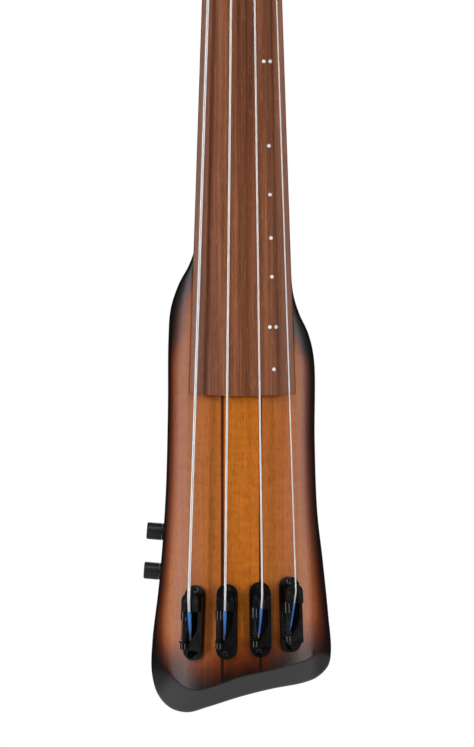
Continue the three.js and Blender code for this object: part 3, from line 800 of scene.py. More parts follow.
# ---------------------------------------------------------------- wood
def silhouette():
    """The outline of body and neck from the front, from the nut's bass end round to its treble end."""
    levels = np.linspace(NUT_Z + NUT_LENGTH, BODY_TOP_Z, 76)[:-1]
    bass_edge = np.column_stack([-board_half_width(levels), levels])
    body = smooth_line(BODY_OUTLINE, 14)
    treble_edge = bass_edge[::-1] * (-1, 1)
    return np.vstack([bass_edge, body, treble_edge])


OUTLINE = silhouette()
ROLL = smooth_line(ROLL_LINE, 12)


def outward_normals(line):
    """Unit normals of a line that runs round the body with the outside on its right."""
    along = np.gradient(line, axis=0)
    normals = np.column_stack([along[:, 1], -along[:, 0]])
    return normals / np.linalg.norm(normals, axis=1, keepdims=True)


def nearest_on(line, points):
    """Distance to a line and the line's outward normal there, for many points, outside positive."""
    normals = outward_normals(line)
    start, step = line[:-1], np.diff(line, axis=0)
    length = (step**2).sum(1)
    distance, normal = [], []
    for chunk in np.array_split(points, max(1, len(points) // 2000)):
        gap = chunk[:, None] - start[None]
        share = np.clip((gap * step[None]).sum(2) / length, 0, 1)
        away = np.linalg.norm(gap - share[..., None] * step[None], axis=2)
        best = away.argmin(1)
        rows = np.arange(len(chunk))
        t = share[rows, best][:, None]
        outward = normals[best] * (1 - t) + normals[best + 1] * t
        offset = gap[rows, best] - t * step[best]
        distance.append(away[rows, best] * np.sign((offset * outward).sum(1)))
        normal.append(outward)
    return np.concatenate(distance), np.concatenate(normal)


def softplus(value, softness):
    return softness * np.logaddexp(0, value / softness)


def front_height(x, z, s):
    """The carved front: an arched top with rolled sides and a flat chamfer across the bottom."""
    past, normal = nearest_on(ROLL, np.column_stack([x, z]))
    across = smoothstep(0.25, 0.75, -normal[:, 1])
    drop = CHAMFER_DROP * mix(0.6, 1.0, across) * softplus(past, mix(2.2, 0.3, across))
    inside = np.clip(RIM_ROUNDING - s, 0, RIM_ROUNDING)
    rim = RIM_ROUNDING - np.sqrt(RIM_ROUNDING**2 - inside**2)
    body = top_height(x) - drop - rim
    return np.where(z > BODY_TOP_Z - 3, BOARD_PLANE, np.minimum(body, CROWN))


def back_height(z, s):
    """The back: flat with rounded edges on the body, an ellipse on the neck, square at the headstock."""
    inside = np.clip(BACK_ROUNDING - s, 0, BACK_ROUNDING)
    body = BACK_ROUNDING - np.sqrt(BACK_ROUNDING**2 - inside**2)
    depth = mix(NECK_DEPTH_AT_NUT, NECK_DEPTH_AT_HEEL, (NUT_Z - z) / (NUT_Z - HEEL_TOP_Z))
    depth = np.clip(depth, NECK_DEPTH_AT_NUT, None)
    share = np.clip(s / board_half_width(z), 0, 1)
    round_neck = BOARD_PLANE - depth * np.sqrt(1 - (1 - share) ** 2)
    square_neck = BOARD_PLANE - depth + body
    neck = mix(round_neck, square_neck, smoothstep(828, 869, z))
    return mix(neck, body, smoothstep(HEEL_TOP_Z, BODY_TOP_Z, z))


def plan_points():
    """Points to build the front and back on: rings that follow the outline, then a plain grid."""
    crease = ROLL[ROLL[:, 1] < -35]
    crease_normals = outward_normals(crease)
    spots = [crease + crease_normals * offset for offset in CREASE_OFFSETS]
    clear = max(CREASE_OFFSETS) + 0.8
    normals = outward_normals(OUTLINE)
    for offset in RIM_OFFSETS:
        ring = OUTLINE - normals * offset
        depth, _ = nearest_on(OUTLINE, ring)
        from_crease, _ = nearest_on(crease, ring)
        kept = (-depth > offset - 0.02) & (np.abs(from_crease) > clear)
        spots.append(ring[kept & ~(beside_seat(ring) & (offset > 4))])
    xs = np.arange(-70, 71, 3.5)
    zs = np.arange(-95, NUT_Z + NUT_LENGTH - 2, 4.0)
    grid = np.array([(x + (1.75 if j % 2 else 0), z) for j, z in enumerate(zs) for x in xs])
    depth, _ = nearest_on(OUTLINE, grid)
    from_crease, _ = nearest_on(crease, grid)
    roomy = (-depth > max(RIM_OFFSETS) + 1.5) & (np.abs(from_crease) > clear) & ~beside_seat(grid)
    spots.append(grid[inside_outline(grid) & roomy])
    for offset in SEAT_OFFSETS:
        rows = np.arange(BOARD_END_Z - 4, BODY_TOP_Z, 2.5)
        row = np.column_stack([board_half_width(rows) + offset, rows])
        row = np.vstack([row, row * (-1, 1)])
        depth, _ = nearest_on(OUTLINE, row)
        spots.append(row[inside_outline(row) & (-depth > 4.2)])
    return np.vstack(spots)


def beside_seat(points):
    """Which points lie in the strips along the fingerboard's edges, where its seat is cut."""
    x, z = points[:, 0], points[:, 1]
    beside = np.abs(x) - board_half_width(z)
    return (beside > -2.4) & (beside < 4.0) & (z > BOARD_END_Z - 4) & (z < BODY_TOP_Z)


def inside_outline(points):
    """Which points lie inside the closed silhouette."""
    loop = np.vstack([OUTLINE, OUTLINE[:1]])
    x, z = points[:, 0], points[:, 1]
    inside = np.zeros(len(points), bool)
    for (x0, z0), (x1, z1) in zip(loop, loop[1:]):
        crosses = (z0 > z) != (z1 > z)
        if z0 != z1:
            inside ^= crosses & (x < (x1 - x0) * (z - z0) / (z1 - z0) + x0)
    return inside


def body_blank():
    """Body and neck in one piece, before its recesses are cut."""
    top_z = NUT_Z + NUT_LENGTH
    top_edge = [(x, top_z) for x in np.arange(16, -17, -4.0)]
    rim = [tuple(p) for p in OUTLINE] + top_edge
    inner = [tuple(p) for p in plan_points()]
    edges = [(i, (i + 1) % len(rim)) for i in range(len(rim))]
    places = [Vector(p) for p in rim + inner]
    flat, _, triangles, *_ = geometry.delaunay_2d_cdt(places, edges, [], 1, 1e-4)
    plan = np.array([tuple(p) for p in flat])
    depth, _ = nearest_on(OUTLINE, plan)
    s = np.maximum(-depth, 0)
    x, z = plan[:, 0], plan[:, 1]
    front = front_height(x, z, s)
    back = np.minimum(back_height(z, s), front)
    vertices = [(a, -f, c) for a, f, c in zip(x, front, z)]
    vertices += [(a, -b, c) for a, b, c in zip(x, back, z)]
    count = len(plan)
    faces = [list(t) for t in triangles]
    faces += [[i + count for i in reversed(t)] for t in triangles]
    sides = dict.fromkeys(side for a, b, c in triangles for side in ((a, b), (b, c), (c, a)))
    faces += [[b, a, a + count, b + count] for a, b in sides if (b, a) not in sides]
    bm = bm_from(vertices, faces)
    bmesh.ops.remove_doubles(bm, verts=bm.verts, dist=0.002)
    bmesh.ops.dissolve_degenerate(bm, edges=bm.edges, dist=0.001)
    bmesh.ops.triangulate(bm, faces=bm.faces)
    bmesh.ops.recalc_face_normals(bm, faces=bm.faces)
    return put("blank", bm)


def head_blank():
    """The headstock, symmetrical and rounded at its edges."""
    right = smooth_line(HEAD_OUTLINE, 8)
    left = right[-2::-1] * (-1, 1)
    outline = [tuple(p) for p in np.vstack([right, left])]
    head = put("head_blank", prism(outline, -HEAD_THICKNESS, 0), HEAD)
    return soften(head, 1.6, 3, 50)


def seat_outline():
    """The fingerboard's footprint, kept just inside its edges, with its slightly bowed end."""
    low = float(board_half_width(BOARD_END_Z)) - GAP
    high = NUT_HALF_WIDTH + GAP
    end = [(x, board_end(x) + GAP) for x in np.linspace(-low, low, 17)]
    return end + [(high, NUT_Z), (high, NUT_Z + 8), (-high, NUT_Z + 8), (-high, NUT_Z)]


def board_end(x):
    return BOARD_END_Z + BOARD_END_BOW * (x / BOARD_END_HALF_WIDTH) ** 2


def bay_cutters(room):
    """A bay's hollow and the shallow rebate for its cover."""
    x0, x1, z0, z1, depth = room
    edge = LID_MARGIN + GAP
    rebate = block(x0 - edge, x1 + edge, -1, COVER_THICKNESS + GAP, z0 - edge, z1 + edge)
    hollow = block(x0 - GAP, x1 + GAP, -1.5, depth + GAP, z0 - GAP, z1 + GAP)
    return [put("rebate", rebate), put("hollow", hollow)]


def knob_place(name, distance):
    """A point on a knob's tilted axis, at a distance out from the wall."""
    wall, z = KNOBS[name]
    return Vector((
        wall - distance * math.cos(KNOB_TILT), -KNOB_DEPTH, z + distance * math.sin(KNOB_TILT),
    ))


def tuner_places():
    """Each tuner's side and the place of its post on the headstock."""
    places = {}
    for name, string in STRINGS.items():
        side = math.copysign(1, string["nut"])
        lower = abs(string["nut"]) > 10
        places[name] = (side, side * POST_X, LOWER_POST_Z if lower else UPPER_POST_Z)
    return places


TUNERS = tuner_places()


def wood_cutters():
    tools = [put("seat", prism(seat_outline(), BOARD_PLANE, CROWN + 20))]
    tools.append(put("rod_slot", block(*ROD_SLOT)))
    tools += bay_cutters(CONTROL_BAY) + bay_cutters(BATTERY_BAY)
    for name in KNOBS:
        tools.append(put("knob_hole", rod(4.7, knob_place(name, -20), knob_place(name, 12), 32)))
    for place in UNITS.values():
        tools.append(put("pocket", block(-2.8, 2.8, -2.5, 2, -8.3, 8.3), place))
        hole = rod(1.7, (BALL_SIDE, 4, BALL_LINE), (BALL_SIDE, -4, BALL_LINE), 24)
        tools.append(put("ball_hole", hole, place))
    for _, x, z in TUNERS.values():
        hole = rod(POST_RADIUS + 0.6, (x, -5, z), (x, HEAD_THICKNESS + 5, z), 40)
        tools.append(put("post_hole", hole, HEAD))
    return tools


def rim_shade(points):
    """0 where the finish is black and 1 where the wood shows fully, from each point's place."""
    plan = points[:, [0, 2]]
    normals = outward_normals(OUTLINE)
    bottom = (normals[:, 1] < -0.55) & (OUTLINE[:, 1] < 0)
    first, last = np.flatnonzero(bottom)[[0, -1]]
    from_bass = np.abs(nearest_on(OUTLINE[:first + 1], plan)[0])
    from_treble = np.abs(nearest_on(OUTLINE[last:], plan)[0])
    crease = ROLL[(ROLL[:, 1] < -45) & (ROLL[:, 0] > -57) & (ROLL[:, 0] < 50)]
    from_crease = -nearest_on(crease, plan)[0]
    z = plan[:, 1]
    shoulder = smoothstep(180, 225, z)
    corner = smoothstep(-10, -70, z)
    bass = smoothstep(-1.5 + 2.5 * shoulder + 2 * corner, 11 + 9 * shoulder + 7 * corner, from_bass)
    treble = smoothstep(-0.5 + 6 * shoulder, 16 + 9 * shoulder + 13 * corner, from_treble)
    bottom_shade = 0.12 + 0.88 * smoothstep(-1, 42, from_crease)
    bottom_shade *= smoothstep(-4, 2.5, from_crease)
    neck = smoothstep(BODY_TOP_Z, BODY_TOP_Z + 40, z)
    return mix(bass * treble * bottom_shade, 0.8, neck)


def chamfer_reflection_share(points):
    """1 on the bottom chamfer, where a grey painted reflection goes, and 0 elsewhere."""
    x, z = points[:, 0], points[:, 2]
    past = nearest_on(ROLL[ROLL[:, 1] < -45], points[:, [0, 2]])[0]
    return smoothstep(-0.4, 1.2, past) * smoothstep(65, 54, x) * smoothstep(-6, 14, x - z - 10)


def make_wood():
    blank = boolean(body_blank(), [head_blank()], "UNION")
    boolean(blank, wood_cutters())
    for node, low, high, material in LAMINATIONS:
        layer = put("layer", block(low, high, -90, 90, -150, 1100))
        piece = bpy.data.objects.new(node + "_wood", blank.data.copy())
        bpy.context.scene.collection.objects.link(piece)
        boolean(piece, [layer], "INTERSECT")
        co = np.empty(len(piece.data.vertices) * 3, np.float32)
        piece.data.vertices.foreach_get("co", co)
        local = co.reshape(-1, 3) * 1000 + (0, STAND_PLATE_THICKNESS + GAP, STAND_PLATE_Z)
        # shade is the sunburst; band is where the chamfer's painted reflection goes.
        for attribute, values in (("shade", rim_shade(local)), ("band", chamfer_reflection_share(local))):
            layer = piece.data.attributes.new(attribute, "FLOAT", "POINT")
            layer.data.foreach_set("value", values.astype(np.float32))
        piece.data.shade_smooth()
        piece.data.set_sharp_from_angle(angle=WOOD_SHARP_ANGLE)
        dress(piece, material, stands_for=node)
    bpy.data.objects.remove(blank)


# ---------------------------------------------------------------- fingerboard and nut
def board_section(z):
    """The board's outline at z, flat below and cambered above, with eased edges."""
    half, crown = float(board_half_width(z)), float(board_crown(z))
    angles = np.linspace(0, math.pi / 2, 5)
    eased = [(BOARD_EASE * (1 - math.cos(a)), BOARD_EASE * (1 - math.sin(a))) for a in angles]
    left = [(inset - half, crown - sag(half) - lift) for inset, lift in eased]
    middle = [(x, crown - sag(x)) for x in np.linspace(BOARD_EASE - half, half - BOARD_EASE, 31)[1:-1]]
    right = [(-x, height) for x, height in left[::-1]]
    return [(-half, BOARD_PLANE), *left, *middle, *right, (half, BOARD_PLANE)]


def make_fingerboard():
    """A cambered board with eased edges and a slightly bowed lower end."""
    rings = []
    for share in (0, 0.0012, *np.linspace(0.01, 1, 60)):
        z = mix(BOARD_END_Z, NUT_Z - GAP, share)
        tuck = 0.3 if share == 0 else 0.0
        bow = max(0.0, 1 - share / 0.02)
        rings.append([
            (x, -max(height - tuck, BOARD_PLANE + 0.05), z + bow * (board_end(x) - BOARD_END_Z))
            for x, height in board_section(z)
        ])
    build("fingerboard_camber", loft(rings), "board", stands_for="fingerboard")


def string_line(string, z):
    """How far across a string lies at a height up the neck."""
    ridge = string["base"] * (1 + STRING_HEIGHT / ARCH_RADIUS)
    return mix(ridge, string["nut"], (z - string["line"]) / (NUT_Z - string["line"]))


def make_dots():
    """White dots between the two highest strings, two of them at each octave."""
    for fret in DOT_FRETS:
        z = NUT_Z * 2 ** (-fret / 12)
        middle = (string_line(STRINGS["d"], z) + string_line(STRINGS["g"], z)) / 2
        offsets = (-2.6, 2.6) if fret % 12 == 0 else (0,)
        for i, offset in enumerate(offsets):
            x = middle + offset
            profile = [(1.5, -0.6), (1.5, 0.0), (1.2, 0.035), (0, 0.06)]
            normal = (x / ARCH_RADIUS, -math.sqrt(1 - (x / ARCH_RADIUS) ** 2), 0)
            start = (x, -float(board_crown(z) - sag(x)), z)
            build(f"dot_{fret}_{i}", lathe(profile, start, normal, 28), "inlay")


# ---------------------------------------------------------------- strings
def bend(a, b, c, reach, steps=6):
    """Points that round the corner at b between a and c."""
    a, b, c = Vector(a), Vector(b), Vector(c)
    start = b + (a - b).normalized() * reach
    end = b + (c - b).normalized() * reach
    shares = [i / steps for i in range(steps + 1)]
    return [start * (1 - t) ** 2 + b * 2 * t * (1 - t) + end * t**2 for t in shares]


def winding(string, name, nut_point):
    """The turns on a post, in the headstock's frame."""
    side, post_x, post_z = TUNERS[name]
    radius = POST_RADIUS + 0.4 + string["gauge"] / 2
    gap_x, gap_z = post_x - nut_point.x, post_z - nut_point.z
    distance = math.hypot(gap_x, gap_z)
    lean = math.atan2(gap_x, gap_z) - side * math.asin(radius / distance)
    reach = math.sqrt(distance**2 - radius**2)
    start_x = nut_point.x + reach * math.sin(lean)
    start_z = nut_point.z + reach * math.cos(lean)
    start_angle = math.atan2(start_z - post_z, start_x - post_x)
    turns = 1.5 + ((side * start_angle - math.pi / 2) / (2 * math.pi)) % 0.5
    steps = 80
    pitch = string["gauge"] + GAP
    points = []
    for i in range(steps + 1):
        angle = start_angle - side * i / steps * turns * 2 * math.pi
        height = WINDING_START + i / steps * turns * pitch
        points.append(Vector((
            post_x + radius * math.cos(angle), -height, post_z + radius * math.sin(angle),
        )))
    inward = Vector((post_x, points[-1].y, post_z)) - points[-1]
    inner = points[-1] + inward * (1 - (POST_RADIUS + 0.2) / radius)
    return [*points[:-2], *bend(points[-3], points[-1], inner, 0.9)]


def string_tail(name, end):
    """The end of a string inside its post's slot, which turns with the post."""
    _, post_x, post_z = TUNERS[name]
    outward = math.copysign(1, end.z - post_z)
    radius = STRINGS[name]["gauge"] / 2 - 0.05
    start, stop = ((post_x, end.y, post_z + outward * reach) for reach in (POST_RADIUS - 0.2, -3.0))
    tail = tube([start, stop], radius, 16)
    build(f"silk_{name}_end", tail, "silk", HEAD, edge=(0.3, 2), body=f"tuner_post_{name}")


def make_strings():
    back_to_head = HEAD.inverted()
    for name, string in STRINGS.items():
        unit = UNITS[name]
        radius = string["gauge"] / 2
        ridge = unit @ Vector((0, -STRING_HEIGHT, 0))
        low = unit @ Vector((BALL_SIDE, -PLATE - GAP - radius, BALL_LINE))
        depth = -float(string_height_at_nut(string))
        nut_low = INSTRUMENT @ Vector((string["nut"], depth, NUT_Z))
        nut_top = INSTRUMENT @ Vector((string["nut"], depth, NUT_Z + NUT_LENGTH))
        turns = winding(string, name, back_to_head @ nut_top)
        string_tail(name, turns[-1])
        wraps = [HEAD @ p for p in turns]
        tail = (low - ridge).normalized()
        tail_start = ridge + tail * SILK_START / 1000
        over = bend(nut_low, ridge, low, 0.0025)
        straight = [ridge.lerp(nut_low, t) for t in np.linspace(0.01, 0.995, 40)]
        at_nut = bend(nut_low, nut_top, wraps[0], 0.0015)
        leaving = nut_top.lerp(wraps[0], 0.45)
        path = [tail_start, *over[::-1], *straight, *at_nut, leaving]
        steel = tube(path, radius / 1000, 20)
        build(f"string_{name}_wound", steel, "string", METRES, stands_for=f"string_{name}")

        wide, narrow = (w / 2000 for w in SILK_WIDTHS[name])
        silk_path = [tail_start.lerp(low, t) for t in np.linspace(-0.02, 0.93, 26)]
        widths = [mix(wide, narrow, t) for t in np.linspace(0, 1, 26)]
        widths[0] = radius / 1000
        build(f"silk_{name}_bridge", tube(silk_path, widths, 20), "silk", METRES)

        ball = tube([low.lerp(ridge, 0.1), low], narrow * 1.25, 20)
        build(f"ball_end_{name}", ball, "brass", METRES, edge=(0.2, 2))

        silk_path = [nut_top.lerp(wraps[0], 0.44), leaving, *wraps]
        widths = [radius / 1000] + [(radius + 0.06) / 1000] * (len(wraps) + 1)
        build(f"silk_{name}_post", tube(silk_path, widths, 16), "silk", METRES)


# ---------------------------------------------------------------- screws
def cut_cross(head, radius, arm, start, normal, top, place):
    """Sinks a tapered cross into a screw head whose top lies at a height along its normal."""
    normal = Vector(normal).normalized()
    side = normal.orthogonal().normalized()
    across = normal.cross(side)
    low, high = (Vector(start) + normal * (top + rise) for rise in (-0.9, 1.0))
    reach, thin = radius * arm, radius * 0.13
    slots = []
    for a, b in ((side, across), (across, side)):
        corners = [a * reach + b * thin, -a * reach + b * thin, -a * reach - b * thin, a * reach - b * thin]
        slots.append(loft([[low + c * 0.8 for c in corners], [high + c * 1.1 for c in corners]]))
    cut(head, slots, place)


def dome_screw(name, radius, dome, start, direction, place=INSTRUMENT, body="instrument"):
    """A steel screw with a domed head and a cross recess, sitting on a surface."""
    profile = [
        (radius, -0.4), (radius, 0.15), (radius * 0.93, dome * 0.45), (radius * 0.6, dome * 0.88),
        (0, dome),
    ]
    head = put(name, lathe(profile, start, direction, 28), place)
    cut_cross(head, radius, 0.55, start, direction, dome, place)
    dress(head, "steel", body)


def flat_screw(name, material, radius, start, direction, place=INSTRUMENT):
    """A countersunk screw head lying just under a surface."""
    profile = [(radius * 0.5, -2.2), (radius, -0.45), (radius - 0.1, -0.3), (0, -0.3)]
    head = put(name, lathe(profile, start, direction, 28), place)
    cut_cross(head, radius, 0.6, start, direction, -0.3, place)
    dress(head, material)


def hex_grub(name, radius, start, direction, place, body):
    """A headless screw with a hexagon socket, seen from its end."""
    profile = [(radius, -2.5), (radius, -0.25), (radius - 0.25, 0)]
    screw = put(name, lathe(profile, start, direction, 24), place)
    normal = Vector(direction)
    cut(screw, [rod(radius * 0.52, Vector(start) - normal * 1.5, Vector(start) + normal * 0.5, 6)], place)
    dress(screw, "metal", body)


# ---------------------------------------------------------------- bridge units
def on_screw(v):
    """A point on the intonation screw's axis."""
    return (SCREW_SIDE, -SCREW_HEIGHT, v)


def bridge_base(name, place):
    middle = (UNIT_TOP + UNIT_BOTTOM) / 2
    outline = rounded_outline(
        2 * UNIT_HALF_WIDTH, UNIT_TOP - UNIT_BOTTOM, UNIT_HALF_WIDTH - 0.01, 0, middle, 12,
    )
    wedge_outline = [(8.2, -41), (8.2, -22), (5.4, -22), (3.7, -27.4), (-3.4, -38.8), (-3.4, -41)]
    parts = [
        block(5.4, 8.2, 1.5, WALL, -42, 3),
        prism(wedge_outline, 1, WALL),
        block(SCREW_SIDE - 2.7, SCREW_SIDE + 2, 1, SCREW_HEIGHT + 2.6, LUG_REAR, LUG_FRONT),
    ]
    holes = [
        rod(SCREW_RADIUS + 0.25, on_screw(-60), on_screw(-20)),
        rod(1.7, (BALL_SIDE, 1, BALL_LINE), (BALL_SIDE, -20, BALL_LINE)),
        block(UNIT_HALF_WIDTH - 0.02, 20, -1, 20, -80, 20),
    ]
    sink = [(1.4, -PLATE - 0.2), (3.0, 0), (3.6, 0.6)]
    holes += [lathe(sink, (u, -PLATE, v), (0, -1, 0), 28) for u, v in BRIDGE_SCREWS]
    build(
        f"bridge_base_{name}_cast", prism(outline, 0.05, PLATE), "metal", place, parts, holes, (0.6, 3, 35),
        stands_for=f"bridge_base_{name}",
    )
    for i, (u, v) in enumerate(BRIDGE_SCREWS):
        flat_screw(f"bridge_screw_{name}_{i}", "metal", 2.8, (u, -PLATE, v), (0, -1, 0), place)


def bridge_saddle(name, place):
    outline = [(SADDLE_HALF_WIDTH, SADDLE_REAR)]
    for i in range(25):
        angle = i / 24 * math.pi
        outline.append((
            SADDLE_HALF_WIDTH * math.cos(angle),
            SADDLE_FRONT - SADDLE_HALF_WIDTH * (1 - math.sin(angle)),
        ))
    outline.append((-SADDLE_HALF_WIDTH, SADDLE_REAR))
    parts = [
        block(-6.4, 5.1, PLATE + 0.3, WALL + 1, SADDLE_REAR, 3),
        rod(2.8, on_screw(BOSS_END), on_screw(SADDLE_REAR + 1), 28),
    ]
    bore = rod(SCREW_RADIUS + 0.2, on_screw(BOSS_END - 1), on_screw(2))
    slope = loft([
        [(u, -BLOCK_TOP, -0.8), (u, -25, -0.8), (u, -25, -11), (u, -10.2, -11)] for u in (-2.6, 2.6)
    ])
    groove_radius = STRINGS[name]["gauge"] / 2 + 0.05
    groove = rod(groove_radius, (0, -STRING_HEIGHT, -3), (0, -STRING_HEIGHT, 9), 20)
    build(
        f"saddle_{name}_cast", prism(outline, WALL + 0.3, BLOCK_TOP), "metal", place, parts,
        [bore, slope, groove], (0.5, 3, 35), body=f"saddle_{name}", stands_for=f"saddle_{name}",
    )
    for i, u in enumerate((-4.7, 4.7)):
        start = (u, -BLOCK_TOP - 0.35, -0.2)
        hex_grub(f"height_screw_{name}_{i}", 1.5, start, (0, -1, 0), place, f"saddle_{name}")


def intonation_screw(name, place):
    start = LUG_REAR - GAP
    shank = threaded_rod(SCREW_RADIUS, 0.22, SCREW_PITCH, on_screw(start - 0.5), (0, 0, 1), 36.5, 16, 6)
    profile = [(0, 0), (2.1, 0), (SCREW_HEAD_RADIUS, 0.5), (SCREW_HEAD_RADIUS, 4.6), (2.3, 5), (1.0, 5)]
    head = lathe(profile, on_screw(start - 5), (0, 0, 1), 28)
    node = f"intonation_screw_{name}"
    build(node + "_cut", join_bms(head, shank), "metal", place, body=node, stands_for=node)


def intonation_spring(name, place):
    low = LUG_FRONT + GAP + COIL_WIRE
    high = BOSS_END - GAP - COIL_WIRE
    steps = COIL_TURNS * 20
    points = []
    for i in range(steps + 1):
        angle = i / 20 * 2 * math.pi
        around = Vector((COIL_RADIUS * math.cos(angle), COIL_RADIUS * math.sin(angle), 0))
        points.append(Vector(on_screw(mix(low, high, i / steps))) + around)
    spring = put(f"intonation_spring_{name}_coil", tube(points, COIL_WIRE, 10), place)
    spring.data.materials.append(MATERIALS["metal"])
    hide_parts(f"intonation_spring_{name}")
    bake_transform(spring)


def make_bridges():
    for name, place in UNITS.items():
        bridge_base(name, place)
        bridge_saddle(name, place)
        intonation_screw(name, place)
        intonation_spring(name, place)


# ---------------------------------------------------------------- knobs
def make_knobs():
    for name in KNOBS:
        out = (knob_place(name, 1) - knob_place(name, 0)).normalized()
        profile = [
            (3.3, 0), (6.85, 0), (KNOB_RADIUS, 0.15), (KNOB_RADIUS, 10.9), (6.8, 11.55), (6.2, 12.0),
            (5.6, 12.25), (5.1, 12.05), (4.7, 11.6), (0, 11.4),
        ]
        build(
            f"{name}_knob_cap", lathe(profile, knob_place(name, 0.6), out, 48), "plastic",
            body=f"{name}_control", stands_for=f"{name}_knob", slot="black_metal",
        )
        washer = lathe([(6.9, -2.4), (6.9, 0.5)], knob_place(name, 0), out, 48)
        bore = rod(4.5, knob_place(name, -3), knob_place(name, 2), 40)
        build(f"{name}_washer", washer, "plastic", cuts=[bore])


# ---------------------------------------------------------------- tuners
def tuner_plate(name, x, z):
    """A base plate with two rounded ears that hold the worm's shaft, and its four screws."""
    back = HEAD_THICKNESS
    worm_y, worm_z = back + WORM_DEPTH, z + WORM_OFFSET
    outline = rounded_outline(20.4, 36, 4, x, z + 6, 8)
    plate = prism(outline, -back - 1.8, -back - GAP)
    ears = []
    for middle in (x - 8.8, x + 8.8):
        ears.append(block(middle - 1.2, middle + 1.2, -worm_y, -back - 1, worm_z - 3.9, worm_z + 3.9))
        ears.append(rod(3.9, (middle - 1.2, worm_y, worm_z), (middle + 1.2, worm_y, worm_z), 36))
    holes = [
        rod(2 + GAP, (x - 20, worm_y, worm_z), (x + 20, worm_y, worm_z), 28),
        rod(POST_RADIUS + 2 * GAP, (x, back - 1, z), (x, back + 4, z), 40),
    ]
    node = f"tuner_plate_{name}"
    build(node + "_cast", plate, "metal", HEAD, ears, holes, (0.4, 2, 35), stands_for=node)
    corners = [(across, along) for across in (-6.7, 6.7) for along in (-8.5, 20.5)]
    for i, (across, along) in enumerate(corners):
        start = (x + across, back + 1.8, z + along)
        dome_screw(f"tuner_screw_{name}_{i}", 1.9, 0.8, start, (0, 1, 0), HEAD)


def gear_outline(x, z):
    """A wheel with plain trapezoid teeth."""
    root = GEAR_RADIUS - 1.6
    tooth_outline = ((-0.36, root), (-0.15, GEAR_RADIUS), (0.15, GEAR_RADIUS), (0.36, root))
    points = []
    for tooth in range(GEAR_TEETH):
        for share, radius in tooth_outline:
            angle = (tooth + share) / GEAR_TEETH * 2 * math.pi
            points.append((x + radius * math.cos(angle), z + radius * math.sin(angle)))
    return points


def tuner_post(name, x, z):
    """A slotted string post through the headstock, with its toothed wheel screwed on behind."""
    front, reach = -20, HEAD_THICKNESS + 3.5
    profile = [
        (POST_RADIUS - 0.9, front), (POST_RADIUS - 0.25, front + 0.25), (POST_RADIUS, front + 0.9),
        (POST_RADIUS, reach + 0.5), (4, reach + 0.5),
    ]
    post = lathe(profile, (x, 0, z), (0, 1, 0), 48)
    wheel = prism(gear_outline(x, z), -reach - 5, -reach)
    cuts = [
        block(x - 1.5, x + 1.5, -front - SLOT_DEPTH, -front + 1, z - 10, z + 10),
        rod(1.6, (x, front - 1, z), (x, front + SLOT_DEPTH + 3, z), 24),
    ]
    node = f"tuner_post_{name}"
    build(
        node + "_turned", post, "metal", HEAD, [wheel], cuts, (0.2, 2, 35), body=node, stands_for=node,
    )
    dome_screw(f"gear_screw_{name}", 3.0, 1.1, (x, reach + 5, z), (0, 1, 0), HEAD, node)


def tuner_button(name, x, z, side):
    """A worm on its shaft, with a ferrule and a rounded paddle to turn it by."""
    y, worm_z = HEAD_THICKNESS + WORM_DEPTH, z + WORM_OFFSET
    lead = 2 * math.pi * (GEAR_RADIUS - 0.8) / GEAR_TEETH
    worm = threaded_rod(3, 0.9, lead, (x - side * 7.2, y, worm_z), (side, 0, 0), 14.4, 28, 20)
    profile = [
        (1.7, -11), (2, -10.7), (2, 16), (3.1, 16.3), (3.4, 17.2), (2.7, 19.5), (3.2, 22.5), (3.2, 25),
    ]
    shaft = lathe(profile, (x, y, worm_z), (side, 0, 0), 32)
    paddle = rounded_outline(24, 27, 9, x + side * 34, worm_z, 12)
    button = put(f"tuner_button_{name}_cast", prism(paddle, -y - 3, -y + 3), HEAD)
    soften(button, 1.9, 5, 40)
    join(button, [shaft, worm], HEAD)
    dress(button, "metal", f"tuner_button_{name}", f"tuner_button_{name}")


def make_tuners():
    for name, (side, x, z) in TUNERS.items():
        tuner_plate(name, x, z)
        tuner_post(name, x, z)
        tuner_button(name, x, z, side)


# ---------------------------------------------------------------- the back's fittings
def bay_outline(bay, radius):
    """The outline of a bay's cover."""
    x0, x1, z0, z1, _ = bay
    width, height = x1 - x0 + 2 * LID_MARGIN, z1 - z0 + 2 * LID_MARGIN
    return rounded_outline(width, height, radius, (x0 + x1) / 2, (z0 + z1) / 2, 8)


def make_covers():
    """The control cover with its jack hole, the truss rod's cover, and their screws."""
    cover = prism(bay_outline(CONTROL_BAY, 5), 0, COVER_THICKNESS)
    x, z = JACK
    hole = rod(5.5 + GAP, (x, -5, z), (x, 5, z), 40)
    build(
        "control_cover_moulded", cover, "plastic", cuts=[hole], edge=(0.4, 3), stands_for="control_cover",
    )
    x0, x1, z0, z1, _ = CONTROL_BAY
    spots = [(x, z) for z in (z0 + 1.5, z1 - 1.5) for x in (x0 + 1.5, x1 - 1.5)]
    for i, (x, z) in enumerate(spots):
        dome_screw(f"cover_screw_{i}", 2.3, 0.9, (x, 0, z), (0, 1, 0))

    outline = rounded_outline(16, 36, 5, 0, 22, 10)
    cover = prism(outline, GAP, GAP + 2)
    build("truss_rod_cover_cut", cover, "plastic", HEAD, edge=(0.5, 3), stands_for="truss_rod_cover")
    for i, z in enumerate((8.5, 35.5)):
        dome_screw(f"truss_cover_screw_{i}", 1.9, 0.7, (0, -GAP - 2, z), (0, -1, 0), HEAD)


